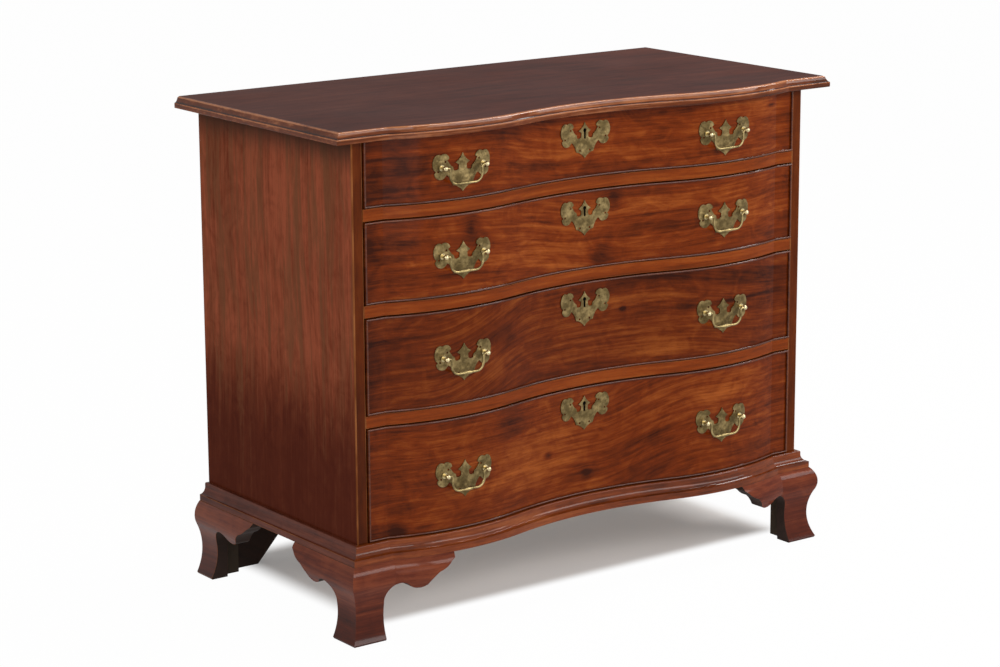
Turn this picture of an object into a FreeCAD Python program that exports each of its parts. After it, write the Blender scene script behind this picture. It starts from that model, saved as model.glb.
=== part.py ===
import FreeCAD, Part
import math
import os
import Sketcher
from types import SimpleNamespace

# Chest of drawers with an oxbow front: a bold swelling at each side, a hollow in the middle and
# flat ends. The origin is on the floor under the middle of the chest, +X to the right as seen from
# the front, -Y towards the front, +Z up. Sizes are in millimetres.

DRIVING_SIZES = {
    # Plan of the front
    "case_width": 940,
    "case_depth": 465,
    "block_width": 58,
    "lobe_share": 0.6675,
    "lobe_reach": 24,
    "hollow_depth": 13,
    # Heights
    "foot_height": 130,
    "base_height": 30,
    "opening_one": 110.5,
    "opening_two": 135,
    "opening_three": 160,
    "opening_four": 190,
    "divider_height": 20,
    # Boards of the case
    "panel_thickness": 20,
    "housing_depth": 10,
    "bottom_board": 20,
    "divider_depth": 70,
    "divider_shoulder": 25,
    "runner_width": 40,
    "runner_housing": 5,
    "back_thickness": 12,
    "back_board_gap": 0.5,
    # Top and its moulded edge
    "top_thickness": 19.5,
    "top_side_overhang": 43,
    "top_front_overhang": 26.5,
    "top_back_overhang": 3,
    "edge_run_depth": 60,
    "nose_foot_round": 1.5,
    "nose_height": 6,
    "nose_round": 2,
    "slope_reach": 4,
    "slope_radius": 14,
    "arris_reach": 4.9,
    "arris_height": 2.5,
    "arris_radius": 7,
    # Base moulding
    "base_reach": 18.5,
    "base_rail_depth": 30,
    "base_fillet": 11,
    "base_step": 2,
    "base_cove_reach": 7.5,
    "base_cove_radius": 13,
    "base_cove_top": 7,
    "base_bead_radius": 2.5,
    # Ogee bracket feet
    "bulge_reach": 30,
    "bulge_height": 105,
    "bulge_radius": 34,
    "waist_reach": 16.5,
    "waist_height": 48,
    "toe_height": 3,
    "toe_chamfer": 1.5,
    "bracket_inset": 4,
    "bracket_length": 160,
    "rear_leg_extra": 15,
    "rear_bracket_thickness": 20,
    "rear_bracket_foot": 80,
    "rear_bracket_length": 200,
    "glue_block": 25,
    "glue_block_lift": 3,
    # Drawers
    "drawer_gap": 1.6,
    "runner_clearance": 0.4,
    "drawer_back_room": 23,
    "front_thickness": 22,
    "front_lap": 8,
    "drawer_side": 12,
    "drawer_side_drop": 8,
    "drawer_back": 12,
    "drawer_back_drop": 6,
    "drawer_bottom": 8,
    "drawer_bottom_lift": 12,
    "groove_depth": 6,
    "pin_tip": 5,
    "pin_root": 10,
    "tail_pitch": 40,
    # Cock beads
    "bead_thickness": 3,
    "bead_reach": 3,
    "bead_let_in": 5,
    "bead_round": 1.8,
    # Brasses
    "plate_width": 112,
    "plate_height": 62,
    "keyplate_width": 103,
    "keyplate_height": 60,
    "plate_thickness": 1.5,
    "plate_seat": 0.15,
    "plate_above_posts": 21,
    "keyplate_below_opening": 17,
    "post_spacing": 81,
    "post_stand_off": 11,
    "post_ball_radius": 4.4,
    "post_neck_radius": 2.6,
    "post_flange_radius": 5,
    "post_flange": 1.2,
    "post_shank_radius": 2.2,
    "post_shank_past": 9,
    "post_hole_clearance": 0.15,
    "nut_across": 11,
    "nut_thickness": 3.5,
    "bail_rod": 4,
    "bail_clearance": 0.08,
    "bail_pin_past": 3,
    "bail_half_width": 31.5,
    "bail_bend": 4.2,
    "bail_sweep": 14,
    "bail_drop": 26.5,
    "bail_swell_half": 17,
    "bail_swell_radius": 2.9,
    # Lock
    "lock_width": 64,
    "lock_height": 46,
    "lock_depth": 16,
    "lock_let_in": 9,
    "lock_selvage": 2,
    "lock_bolt_width": 24,
    "lock_bolt_height": 22,
    "lock_bolt_thickness": 5,
    "key_drop": 29,
    "key_bore_radius": 3.4,
    "key_slot_width": 4,
    "key_slot_length": 14,
    "key_pin_radius": 1.5,
    "overrun": 20,
}

doc = FreeCAD.newDocument("oxbow_chest")
sheet = doc.addObject("Spreadsheet::Sheet", "sizes")


class Size:
    """A size: its number, and the sheet formula that keeps it bound."""

    def __init__(self, number, formula):
        self.number = number
        self.formula = formula

    def __add__(self, other):
        other = sized(other)
        return Size(self.number + other.number, f"({self.formula} + {other.formula})")

    def __sub__(self, other):
        other = sized(other)
        return Size(self.number - other.number, f"({self.formula} - {other.formula})")

    def __mul__(self, other):
        other = sized(other)
        return Size(self.number * other.number, f"({self.formula} * {other.formula})")

    def __truediv__(self, other):
        other = sized(other)
        return Size(self.number / other.number, f"({self.formula} / {other.formula})")

    def __neg__(self):
        return Size(-self.number, f"(0 - {self.formula})")

    __radd__ = __add__
    __rmul__ = __mul__


def sized(value):
    """A plain number as a size."""
    return value if isinstance(value, Size) else Size(value, repr(value))


def root(size):
    return Size(math.sqrt(size.number), f"sqrt({size.formula})")


def arcsine(size):
    return Size(math.degrees(math.asin(size.number)), f"asin({size.formula})")


def fill_sheet():
    """Writes the driving sizes to the sheet and returns them as bound sizes."""
    sizes = SimpleNamespace()
    for row, (name, number) in enumerate(DRIVING_SIZES.items(), start=1):
        sheet.set(f"A{row}", name)
        sheet.set(f"B{row}", str(number))
        sheet.setAlias(f"B{row}", name)
        setattr(sizes, name, Size(number, f"sizes.{name}"))
    return sizes


s = fill_sheet()
doc.recompute()
ZERO = sized(0)

# Places that follow from the driving sizes
case_half = s.case_width / 2
inside_half = case_half - s.panel_thickness
front_plane = -(s.case_depth + s.top_back_overhang - s.lobe_reach - s.top_front_overhang) / 2
back_plane = front_plane + s.case_depth
back_face = back_plane - s.back_thickness
case_floor = s.foot_height + s.base_height
openings = (s.opening_one, s.opening_two, s.opening_three, s.opening_four)
floors = [case_floor]
for opening in openings[:0:-1]:
    floors.insert(0, floors[0] + opening + s.divider_height)
case_top = floors[0] + s.opening_one
chest_top = case_top + s.top_thickness

# Plan of the front: two lobes, tangent to the hollow between them, and flat ends
crease_distance = case_half - s.block_width
lobe_distance = crease_distance * s.lobe_share
lobe_half = crease_distance - lobe_distance
lobe_radius = (lobe_half * lobe_half + s.lobe_reach * s.lobe_reach) / (2 * s.lobe_reach)
swing = s.lobe_reach + s.hollow_depth
radius_sum = (lobe_distance * lobe_distance + swing * swing) / (2 * swing)
hollow_radius = radius_sum - lobe_radius
lobe_axis = front_plane - s.lobe_reach + lobe_radius
hollow_axis = front_plane + s.hollow_depth - hollow_radius
turn_angle = arcsine(lobe_distance / radius_sum)


def bind(item, **sizes):
    """Binds an item's properties to the sheet."""
    for name, size in sizes.items():
        item.setExpression(name, sized(size).formula)


def place(item, x=ZERO, y=ZERO, z=ZERO):
    """Binds an item's place to the sheet."""
    for axis, size in zip("xyz", (x, y, z)):
        item.setExpression("Placement.Base." + axis, size.formula)


def block(name, across, along, up):
    """A square board between two places on each axis."""
    item = doc.addObject("Part::Box", name)
    bind(item, Length=across[1] - across[0], Width=along[1] - along[0], Height=up[1] - up[0])
    place(item, across[0], along[0], up[0])
    return item


def rod(name, direction, radius, start, length):
    """A round rod from a place, along an axis."""
    item = doc.addObject("Part::Cylinder", name)
    item.Placement.Rotation = FreeCAD.Rotation(FreeCAD.Vector(0, 0, 1), FreeCAD.Vector(*direction))
    bind(item, Radius=radius, Height=length)
    place(item, *start)
    return item


def group(name, *items):
    item = doc.addObject("Part::Compound", name)
    item.Links = list(items)
    return item


def moved(name, piece, x=ZERO, y=ZERO, z=ZERO):
    """A copy of a piece at another place."""
    item = group(name, piece)
    place(item, x, y, z)
    return item


def mirrored(name, piece):
    """The same piece for the other side of the chest."""
    item = doc.addObject("Part::Mirroring", name)
    item.Source = piece
    item.Normal = FreeCAD.Vector(1, 0, 0)
    return item


def cut(name, piece, *tools):
    item = doc.addObject("Part::Cut", name)
    item.Base = piece
    item.Tool = tools[0] if len(tools) == 1 else group(name + "_cuts", *tools)
    return item


def shared(name, piece, other):
    item = doc.addObject("Part::Common", name)
    item.Base = piece
    item.Tool = other
    return item


def fused(name, *pieces):
    item = doc.addObject("Part::MultiFuse", name)
    item.Shapes = list(pieces)
    item.Refine = True
    return item


def origin_plane(body, role):
    return next(item for item in body.Origin.OriginFeatures if item.Role == role)


def sketch_on(body, role, name, shift=(ZERO, ZERO, ZERO)):
    """A sketch on one of the body's own planes, shifted along the sketch's axes."""
    sketch = body.newObject("Sketcher::SketchObject", name)
    sketch.AttachmentSupport = (origin_plane(body, role), [""])
    sketch.MapMode = "FlatFace"
    for axis, size in zip("xyz", shift):
        sketch.setExpression("AttachmentOffset.Base." + axis, size.formula)
    return sketch


def arc_between(start, end, radius, bulge):
    """The short arc from start to end that bulges to the left (1) or to the right (-1)."""
    middle = (start + end) * 0.5
    half = (end - start) * 0.5
    left = FreeCAD.Vector(-half.y, half.x, 0).normalize()
    centre = middle - left * (bulge * math.sqrt(radius * radius - half.Length * half.Length))
    first, last = (end, start) if bulge > 0 else (start, end)
    angles = [math.atan2(point.y - centre.y, point.x - centre.x) for point in (first, last)]
    circle = Part.Circle(centre, FreeCAD.Vector(0, 0, 1), radius)
    return Part.ArcOfCircle(circle, angles[0], angles[1])


def constrain(sketch, size, *constraint):
    """Adds a dimension to a sketch and binds it to the sheet."""
    index = sketch.addConstraint(Sketcher.Constraint(*constraint, size.number))
    sketch.setExpression(f"Constraints[{index}]", size.formula)


def outline(sketch, points, arcs=None, closed=True):
    """Draws a dimensioned outline. A side named in arcs is an arc: its radius and its bulge."""
    arcs = arcs or {}
    first = sketch.GeometryCount
    count = len(points) if closed else len(points) - 1
    places = [FreeCAD.Vector(x.number, y.number, 0) for x, y in points]
    ends = []
    for side in range(count):
        start, end = places[side], places[(side + 1) % len(points)]
        if side in arcs:
            radius, bulge = arcs[side]
            sketch.addGeometry(arc_between(start, end, radius.number, bulge))
            ends.append((2, 1) if bulge > 0 else (1, 2))
        else:
            sketch.addGeometry(Part.LineSegment(start, end))
            ends.append((1, 2))
    for side in range(count if closed else count - 1):
        after = (side + 1) % count
        meeting = (first + side, ends[side][1], first + after, ends[after][0])
        sketch.addConstraint(Sketcher.Constraint("Coincident", *meeting))
    for side in range(count):
        constrain(sketch, points[side][0], "DistanceX", first + side, ends[side][0])
        constrain(sketch, points[side][1], "DistanceY", first + side, ends[side][0])
    if not closed:
        constrain(sketch, points[-1][0], "DistanceX", first + count - 1, ends[-1][1])
        constrain(sketch, points[-1][1], "DistanceY", first + count - 1, ends[-1][1])
    for side, (radius, bulge) in arcs.items():
        constrain(sketch, radius, "Radius", first + side)


def hole(sketch, x, y, radius):
    """Adds a dimensioned circle to a sketch."""
    centre = FreeCAD.Vector(x.number, y.number, 0)
    index = sketch.addGeometry(Part.Circle(centre, FreeCAD.Vector(0, 0, 1), radius.number))
    constrain(sketch, x, "DistanceX", index, 3)
    constrain(sketch, y, "DistanceY", index, 3)
    constrain(sketch, radius, "Radius", index)


def pad(body, sketch, length, both_ways=False):
    item = body.newObject("PartDesign::Pad", sketch.Name + "_pad")
    item.Profile = sketch
    item.SideType = "Symmetric" if both_ways else "One side"
    bind(item, Length=length)
    return item


def revolved(body, sketch, axis, angle, other_angle=None):
    """Turns a profile about the sketch's own axis, one way, both ways alike or by two angles."""
    item = body.newObject("PartDesign::Revolution", sketch.Name + "_turn")
    item.Profile = sketch
    item.ReferenceAxis = (sketch, [axis])
    bind(item, Angle=angle)
    if other_angle:
        item.Type = "TwoAngles"
        bind(item, Angle2=other_angle)
    return item


def prism(name, role, points, arcs, length, shift=(ZERO, ZERO, ZERO), holes=(), both_ways=False):
    """A body of one padded outline."""
    body = doc.addObject("PartDesign::Body", name)
    sketch = sketch_on(body, role, name + "_outline", shift)
    outline(sketch, points, arcs)
    for x, y, radius in holes:
        hole(sketch, x, y, radius)
    pad(body, sketch, length, both_ways)
    return body


def front_run(name, profile, arcs, depth, half_width):
    """A body that follows the front of the chest with one profile.

    The profile's points are given as reach in front of the front's surface and height, and the
    deepest of them lies depth behind that surface. The hollow and the lobes are turned about
    their own centres and the ends run straight.
    """
    body = doc.addObject("PartDesign::Body", name)
    back_crease = root(s.lobe_reach * (2 * lobe_radius - 2 * depth - s.lobe_reach))
    crease_angle = arcsine(back_crease / (lobe_radius - depth))

    hollow = sketch_on(body, "YZ_Plane", name + "_hollow", (hollow_axis, ZERO, ZERO))
    outline(hollow, [(hollow_radius - reach, up) for reach, up in profile], arcs)
    revolved(body, hollow, "V_Axis", turn_angle, turn_angle)

    lobe = sketch_on(body, "YZ_Plane", name + "_lobe", (lobe_axis, ZERO, lobe_distance))
    outline(lobe, [(-(lobe_radius + reach), up) for reach, up in profile], arcs)
    lobe_turn = revolved(body, lobe, "V_Axis", crease_angle, turn_angle)

    flat_start = lobe_distance + back_crease
    flat = sketch_on(body, "YZ_Plane", name + "_flat", (front_plane, ZERO, flat_start))
    outline(flat, [(-reach, up) for reach, up in profile], arcs)
    flat_pad = pad(body, flat, half_width - flat_start)

    other_half = body.newObject("PartDesign::Mirrored", name + "_other_half")
    other_half.Originals = [lobe_turn, flat_pad]
    other_half.MirrorPlane = (origin_plane(body, "YZ_Plane"), [""])
    body.Tip = other_half
    return body


def band(name, reach, depth, low, high, half_width):
    """A plain strip that follows the front."""
    profile = [(-depth, low), (reach, low), (reach, high), (-depth, high)]
    return front_run(name, profile, {}, depth, half_width)


def edge_points(overhang):
    """The moulded edge of the top, from its underside up: nose, hollow slope and rounded arris."""
    nose_foot = case_top + s.nose_foot_round
    nose_top = nose_foot + s.nose_height
    slope_foot = overhang - s.nose_round
    slope_top = slope_foot - s.slope_reach
    return [
        (overhang - s.nose_foot_round, case_top),
        (overhang, nose_foot),
        (overhang, nose_top),
        (slope_foot, nose_top + s.nose_round),
        (slope_top, chest_top - s.arris_height),
        (slope_top - s.arris_reach, chest_top),
    ]


def edge_arcs(first, outward):
    """The arcs of the moulded edge, where outward is the side on which the edge bulges."""
    return {
        first: (s.nose_foot_round, outward),
        first + 2: (s.nose_round, outward),
        first + 3: (s.slope_radius, -outward),
        first + 4: (s.arris_radius, outward),
    }


def build_top():
    """The top: its front edge follows the front and its ends are moulded alike."""
    edge = edge_points(s.top_front_overhang)
    profile = [(-s.edge_run_depth, case_top), *edge, (-s.edge_run_depth, chest_top)]
    wide = case_half + s.top_side_overhang + s.overrun
    front_slab = front_run("top_front_edge", profile, edge_arcs(1, 1), s.edge_run_depth, wide)
    core_front = front_plane + s.hollow_depth + s.arris_radius
    core_back = back_plane + s.top_back_overhang
    core = block("top_core", (-wide, wide), (core_front, core_back), (case_top, chest_top))
    slab = fused("top_slab", front_slab, core)
    ends = edge_points(case_half + s.top_side_overhang)
    both_ends = [*ends, *[(-x, z) for x, z in reversed(ends)]]
    last = len(ends)
    arcs = edge_arcs(0, -1)
    arcs.update({2 * last - 2 - side: arc for side, arc in edge_arcs(0, -1).items()})
    end_slab = prism("top_end_edges", "XZ_Plane", both_ends, arcs, 2 * s.case_depth, both_ways=True)
    return shared("top_board", slab, end_slab)


BACK_BOARDS = 3


def build_case(mitre_tools):
    """The case: side panels, bottom, dividers, runners, back boards and base mouldings."""
    height = (s.foot_height, case_top)
    base = base_profile()
    base_half = case_half + s.base_reach + s.overrun
    base_run = front_run("base_run", base, BASE_ARCS, s.base_rail_depth, base_half)
    space_reach = s.base_reach + s.overrun
    rail_space = band("base_rail_space", space_reach, s.base_rail_depth, ZERO, case_floor, case_half)
    housed = inside_half + s.housing_depth
    inside_along = (front_plane - s.lobe_reach, back_face)
    bottom_heights = (case_floor - s.bottom_board, case_floor)
    bottom_blank = block("case_bottom_blank", (-housed, housed), inside_along, bottom_heights)
    case_bottom = cut("case_bottom", bottom_blank, rail_space)

    divider_band = band("divider_band", ZERO, s.divider_depth, case_floor, case_top, case_half)
    divider_back = front_plane + s.divider_depth
    shoulder = front_plane + s.divider_shoulder
    dividers = []
    runners = []
    for number, floor in enumerate(floors[:-1], start=1):
        heights = (floor - s.divider_height, floor)
        face_along = (front_plane - s.lobe_reach, divider_back)
        face_space = block(f"divider_{number}_space", (-inside_half, inside_half), face_along, heights)
        face = shared(f"divider_{number}_face", divider_band, face_space)
        tongue = block(f"divider_{number}_tongue", (-housed, housed), (shoulder, divider_back), heights)
        dividers.append(fused(f"divider_{number}", face, tongue))
        outside = -(inside_half + s.runner_housing)
        runner_across = (outside, outside + s.runner_width)
        runner = block(f"runner_{number}_left", runner_across, (divider_back, back_face), heights)
        runners += [runner, mirrored(f"runner_{number}_right", runner)]
    drawer_dividers = group("drawer_dividers", *dividers)
    drawer_runners = group("drawer_runners", *runners)

    panel_blank = block("panel_blank", (-case_half, -inside_half), (front_plane, back_plane), height)
    rabbet_across = (-housed, -inside_half + s.overrun)
    rabbet_along = (back_face, back_plane + s.overrun)
    rabbet = block("back_rabbet", rabbet_across, rabbet_along, (ZERO, case_top + s.overrun))
    left_panel = cut("left_side_panel", panel_blank, rabbet, drawer_dividers, drawer_runners, case_bottom)
    right_panel = mirrored("right_side_panel", left_panel)

    board_height = (case_top - s.foot_height) / BACK_BOARDS
    boards = []
    for number in range(BACK_BOARDS):
        low = s.foot_height + number * board_height
        heights = (low + s.back_board_gap / 2, low + board_height - s.back_board_gap / 2)
        board = block(f"back_board_{number + 1}", (-housed, housed), (back_face, back_plane), heights)
        boards.append(board)
    back_boards = group("back_boards", *boards)

    side_wedge, front_wedge = mitre_tools
    other_wedge = mirrored("side_wedge_right", side_wedge)
    front_base = cut("front_base_moulding", base_run, left_panel, right_panel, side_wedge, other_wedge)
    side_points = [(-(case_half + reach), up) for reach, up in side_profile(base)]
    side_length = s.case_depth + s.base_reach + s.overrun
    side_run = prism("side_base_run", "XZ_Plane", side_points, BASE_ARCS, side_length, from_back())
    left_base = cut("left_base_moulding", side_run, front_wedge)
    right_base = mirrored("right_base_moulding", left_base)
    return [
        left_panel, right_panel, case_bottom, drawer_dividers, drawer_runners, back_boards,
        front_base, left_base, right_base,
    ]


def base_profile():
    """The base moulding from the back of its rail: fillet, step, cove and bead."""
    cove_top = case_floor - s.base_cove_top
    fillet_top = s.foot_height + s.base_fillet
    return [
        (-s.base_rail_depth, s.foot_height),
        (s.base_reach, s.foot_height),
        (s.base_reach, fillet_top),
        (s.base_reach - s.base_step, fillet_top),
        (s.base_cove_reach, cove_top),
        (s.base_cove_reach, case_floor - s.base_bead_radius),
        (s.base_cove_reach - s.base_bead_radius, case_floor),
        (-s.base_rail_depth, case_floor),
    ]


BASE_ARCS = {3: (s.base_cove_radius, -1), 5: (s.base_bead_radius, 1)}


def from_back():
    """The shift of an upright sketch that stands at the back of the case and pads forwards."""
    return ZERO, ZERO, -back_plane


def side_profile(profile):
    """A front profile for a straight side piece, whose back lies against the side."""
    return [(ZERO, profile[0][1]), *profile[1:-1], (ZERO, profile[-1][1])]


def ogee_profile():
    """The face of a foot from the floor up: toe, waist, bulge."""
    rise = s.bulge_height - s.waist_height
    spread = s.bulge_reach - s.waist_reach
    both_radii = (spread * spread + rise * rise) / (2 * spread)
    waist_radius = both_radii - s.bulge_radius
    toe_rise = s.waist_height - s.toe_height
    toe_reach = s.waist_reach + waist_radius - root(waist_radius * waist_radius - toe_rise * toe_rise)
    top_rise = s.foot_height - s.bulge_height
    top_reach = s.bulge_reach - s.bulge_radius + root(s.bulge_radius * s.bulge_radius - top_rise * top_rise)
    bulge_part = s.bulge_radius / both_radii
    turn_reach = s.bulge_reach - s.bulge_radius + (both_radii - spread) * bulge_part
    turn_height = s.bulge_height - rise * bulge_part
    points = [
        (-s.bracket_inset, ZERO),
        (toe_reach - s.toe_chamfer, ZERO),
        (toe_reach, s.toe_height),
        (turn_reach, turn_height),
        (top_reach, s.foot_height),
        (-s.bracket_inset, s.foot_height),
    ]
    return points, {2: (waist_radius, -1), 3: (s.bulge_radius, 1)}


# The sawn outline of a foot bracket, from the ankle to the wing's end: shares of the bracket's length
# and of the foot's height, then the arcs between the points: shares of the foot's height and the bulge.
BRACKET_SHARES = (
    (0.215, 0.0), (0.235, 0.46), (0.39, 0.715), (0.49, 0.665), (0.59, 0.61), (0.69, 0.645),
    (0.80, 0.80), (0.94, 0.905), (0.985, 0.94), (1.0, 1.0),
)
BRACKET_ARC_SHARES = {1: (0.23, 1), 2: (0.17, 1), 3: (0.17, -1), 4: (0.16, -1), 5: (0.4, 1), 6: (0.4, -1)}


def bracket_outline(corner, direction):
    """The outline that a foot bracket keeps, from beyond the corner towards the middle."""
    points = []
    for length_share, height_share in BRACKET_SHARES:
        along = corner + direction * length_share * s.bracket_length
        points.append((along, height_share * s.foot_height))
    inner = points[-1][0]
    outer = corner - direction * (s.bulge_reach + s.overrun)
    points += [(inner, s.foot_height + s.overrun), (outer, s.foot_height + s.overrun), (outer, ZERO)]
    arcs = {}
    for side, (radius_share, bulge) in BRACKET_ARC_SHARES.items():
        arcs[side] = (radius_share * s.foot_height, bulge * direction)
    return points, arcs


def build_feet(mitre_tools):
    """The ogee bracket feet: mitred pairs at the front, a plain board behind each back foot."""
    side_wedge, front_wedge = mitre_tools
    profile, ogee_arcs = ogee_profile()
    reach = 2 * (s.case_depth + s.overrun)
    foot_half = case_half + s.bulge_reach + s.overrun
    foot_run = front_run("foot_run", profile, ogee_arcs, s.bracket_inset, foot_half)
    side_points = [(-(case_half + out), up) for out, up in profile]
    side_length = s.case_depth + s.bulge_reach + s.overrun
    side_run = prism("foot_side_run", "XZ_Plane", side_points, ogee_arcs, side_length, from_back())

    points, arcs = bracket_outline(-case_half, 1)
    front_pattern = prism("front_bracket_pattern", "XZ_Plane", points, arcs, reach, both_ways=True)
    front_bracket = cut("front_bracket", shared("front_bracket_blank", foot_run, front_pattern), side_wedge)
    points, arcs = bracket_outline(front_plane, 1)
    side_pattern = prism("side_bracket_pattern", "YZ_Plane", points, arcs, 2 * s.case_width, both_ways=True)
    side_bracket = cut("side_bracket", shared("side_bracket_blank", side_run, side_pattern), front_wedge)
    front_left = group("front_left_foot", front_bracket, side_bracket)

    points, arcs = bracket_outline(back_plane - s.rear_leg_extra, -1)
    rear_pattern = prism("rear_bracket_pattern", "YZ_Plane", points, arcs, 2 * s.case_width, both_ways=True)
    rear_side = shared("rear_side_bracket", side_run, rear_pattern)
    board_start = -(case_half - s.bracket_inset)
    board_points = [
        (board_start, ZERO),
        (board_start + s.rear_bracket_foot, ZERO),
        (board_start + s.rear_bracket_length, s.foot_height),
        (board_start, s.foot_height),
    ]
    board_thickness = s.rear_bracket_thickness
    rear_board = prism("rear_bracket_board", "XZ_Plane", board_points, {}, board_thickness, from_back())
    back_left = group("back_left_foot", rear_side, rear_board)

    block_heights = (s.glue_block_lift, s.foot_height)
    block_across = (board_start, board_start + s.glue_block)
    front_start = front_plane + s.bracket_inset
    rear_start = back_plane - s.rear_bracket_thickness - s.glue_block
    blocks = []
    for name, start in (("front", front_start), ("back", rear_start)):
        left = block(f"glue_block_{name}_left", block_across, (start, start + s.glue_block), block_heights)
        blocks += [left, mirrored(f"glue_block_{name}_right", left)]
    return [
        front_left, mirrored("front_right_foot", front_left),
        back_left, mirrored("back_right_foot", back_left),
        group("foot_glue_blocks", *blocks),
    ]


def build_mitre_tools():
    """The spaces on either side of the left mitre: the side piece's and the front piece's."""
    far = s.bulge_reach + s.overrun
    inner = (-case_half + s.bracket_inset, front_plane + s.bracket_inset)
    outer = (-case_half - far, front_plane - far)
    side_space = [inner, outer, (outer[0], front_plane + far), (inner[0], front_plane + far)]
    front_space = [inner, outer, (inner[0], outer[1])]
    height = chest_top
    return (
        prism("side_wedge", "XY_Plane", side_space, {}, height, both_ways=True),
        prism("front_wedge", "XY_Plane", front_space, {}, height, both_ways=True),
    )


# The brass plate's outline, right half from the crest's point to the lower point: shares of the plate's
# width from its middle and of its height from its crest. The arcs are shares of the width and the bulge.
PLATE_SHARES = (
    (0.0, 0.0), (0.122, 0.232), (0.067, 0.295), (0.07, 0.405), (0.158, 0.43), (0.168, 0.345), (0.243, 0.205),
    (0.262, 0.165), (0.228, 0.115), (0.365, 0.025), (0.475, 0.085), (0.478, 0.39), (0.448, 0.44),
    (0.474, 0.49), (0.318, 0.62), (0.272, 0.535), (0.19, 0.73), (0.168, 0.822), (0.075, 0.885), (0.0, 1.0),
)
PLATE_ARC_SHARES = {
    0: (0.25, -1), 3: (0.07, -1), 5: (0.16, -1), 8: (0.085, 1), 9: (0.072, 1), 10: (0.174, 1), 13: (0.1, 1),
    15: (0.22, -1), 17: (0.15, -1), 18: (0.2, -1),
}
# The plate's piercings: shares of the width, of the height and of the width for the radius.
PIERCING_SHARES = ((0.1, 0.785, 0.018), (0.292, 0.195, 0.016), (0.412, 0.44, 0.016))


def plate_outline(width, height, crest):
    """The plate's whole outline and its piercings, about its middle."""
    right = []
    for width_share, height_share in PLATE_SHARES:
        right.append((width_share * width, crest - height_share * height))
    left = [(-x, z) for x, z in reversed(right[1:-1])]
    sides = 2 * (len(right) - 1)
    arcs = {}
    for side, (radius_share, bulge) in PLATE_ARC_SHARES.items():
        arcs[side] = (radius_share * width, bulge)
        arcs[sides - 1 - side] = (radius_share * width, bulge)
    holes = []
    for width_share, height_share, radius_share in PIERCING_SHARES:
        aside = width_share * width
        up = crest - height_share * height
        for direction in (1, -1):
            holes.append((direction * aside, up, radius_share * width))
    return right + left, arcs, holes


def bent_shell(name, place_of_axis, facing, walls, width, height):
    """A thin round wall behind (1) or in front (-1) of its upright axis, larger than the plate it bends."""
    x, axis = place_of_axis
    half = width / 2 + s.overrun
    inside, outside = [axis + facing * root(radius * radius - half * half) for radius in walls]
    points = [(x - half, outside), (x + half, outside), (x + half, inside), (x - half, inside)]
    arcs = {0: (walls[1], facing), 2: (walls[0], -facing)}
    return prism(name, "XY_Plane", points, arcs, 2 * height, both_ways=True)


def key_shape(name, along, length):
    """The keyhole's space, with its round end at height zero."""
    bore = rod(name + "_bore", (0, 1, 0), s.key_bore_radius, (ZERO, along, ZERO), length)
    half = s.key_slot_width / 2
    slot = block(name + "_slot", (-half, half), (along, along + length), (-s.key_slot_length, ZERO))
    return fused(name, bore, slot)


def build_brasses():
    """One of each brass, with the post line at height zero."""
    lobe_face = front_plane - s.lobe_reach
    posts_at = [-lobe_distance - s.post_spacing / 2, -lobe_distance + s.post_spacing / 2]
    bore_radius = s.post_shank_radius + s.post_hole_clearance
    far = s.lobe_reach + s.overrun
    bore_length = 2 * far + s.front_thickness
    post_bores = [
        rod(f"post_bore_{number}", (0, 1, 0), bore_radius, (x, lobe_face - far, ZERO), bore_length)
        for number, x in enumerate(posts_at, start=1)
    ]
    left_bores = group("post_bores_left", *post_bores)

    points, arcs, holes = plate_outline(s.plate_width, s.plate_height, s.plate_above_posts)
    holes += [(-s.post_spacing / 2, ZERO, bore_radius), (s.post_spacing / 2, ZERO, bore_radius)]
    plate_at = (-lobe_distance, ZERO, -lobe_face)
    blank = prism("plate_blank", "XZ_Plane", points, arcs, 2 * far, plate_at, holes, both_ways=True)
    seat = lobe_radius + s.plate_seat
    walls = (seat, seat + s.plate_thickness)
    plate_axis = (-lobe_distance, lobe_axis)
    shell = bent_shell("plate_shell", plate_axis, -1, walls, s.plate_width, s.plate_height)
    plate = shared("pull_plate", shell, blank)

    points, arcs, holes = plate_outline(s.keyplate_width, s.keyplate_height, ZERO)
    hollow_face = front_plane + s.hollow_depth
    key_at = (ZERO, ZERO, -hollow_face)
    key_blank = prism("keyplate_blank", "XZ_Plane", points, arcs, 2 * far, key_at, holes, both_ways=True)
    key_seat = hollow_radius - s.plate_seat
    key_walls = (key_seat - s.plate_thickness, key_seat)
    key_axis = (ZERO, hollow_axis)
    key_shell = bent_shell("keyplate_shell", key_axis, 1, key_walls, s.keyplate_width, s.keyplate_height)
    keyhole = key_shape("keyhole", hollow_face - far, 2 * far)
    keyplate_blank = shared("keyplate_unpierced", key_shell, key_blank)
    return SimpleNamespace(
        plate=plate,
        keyplate=keyplate_blank,
        keyhole=keyhole,
        bores=group("post_bores", left_bores, mirrored("post_bores_right", left_bores)),
        posts=build_posts(posts_at, lobe_face),
        bail=build_bail(lobe_face),
    )


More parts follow.
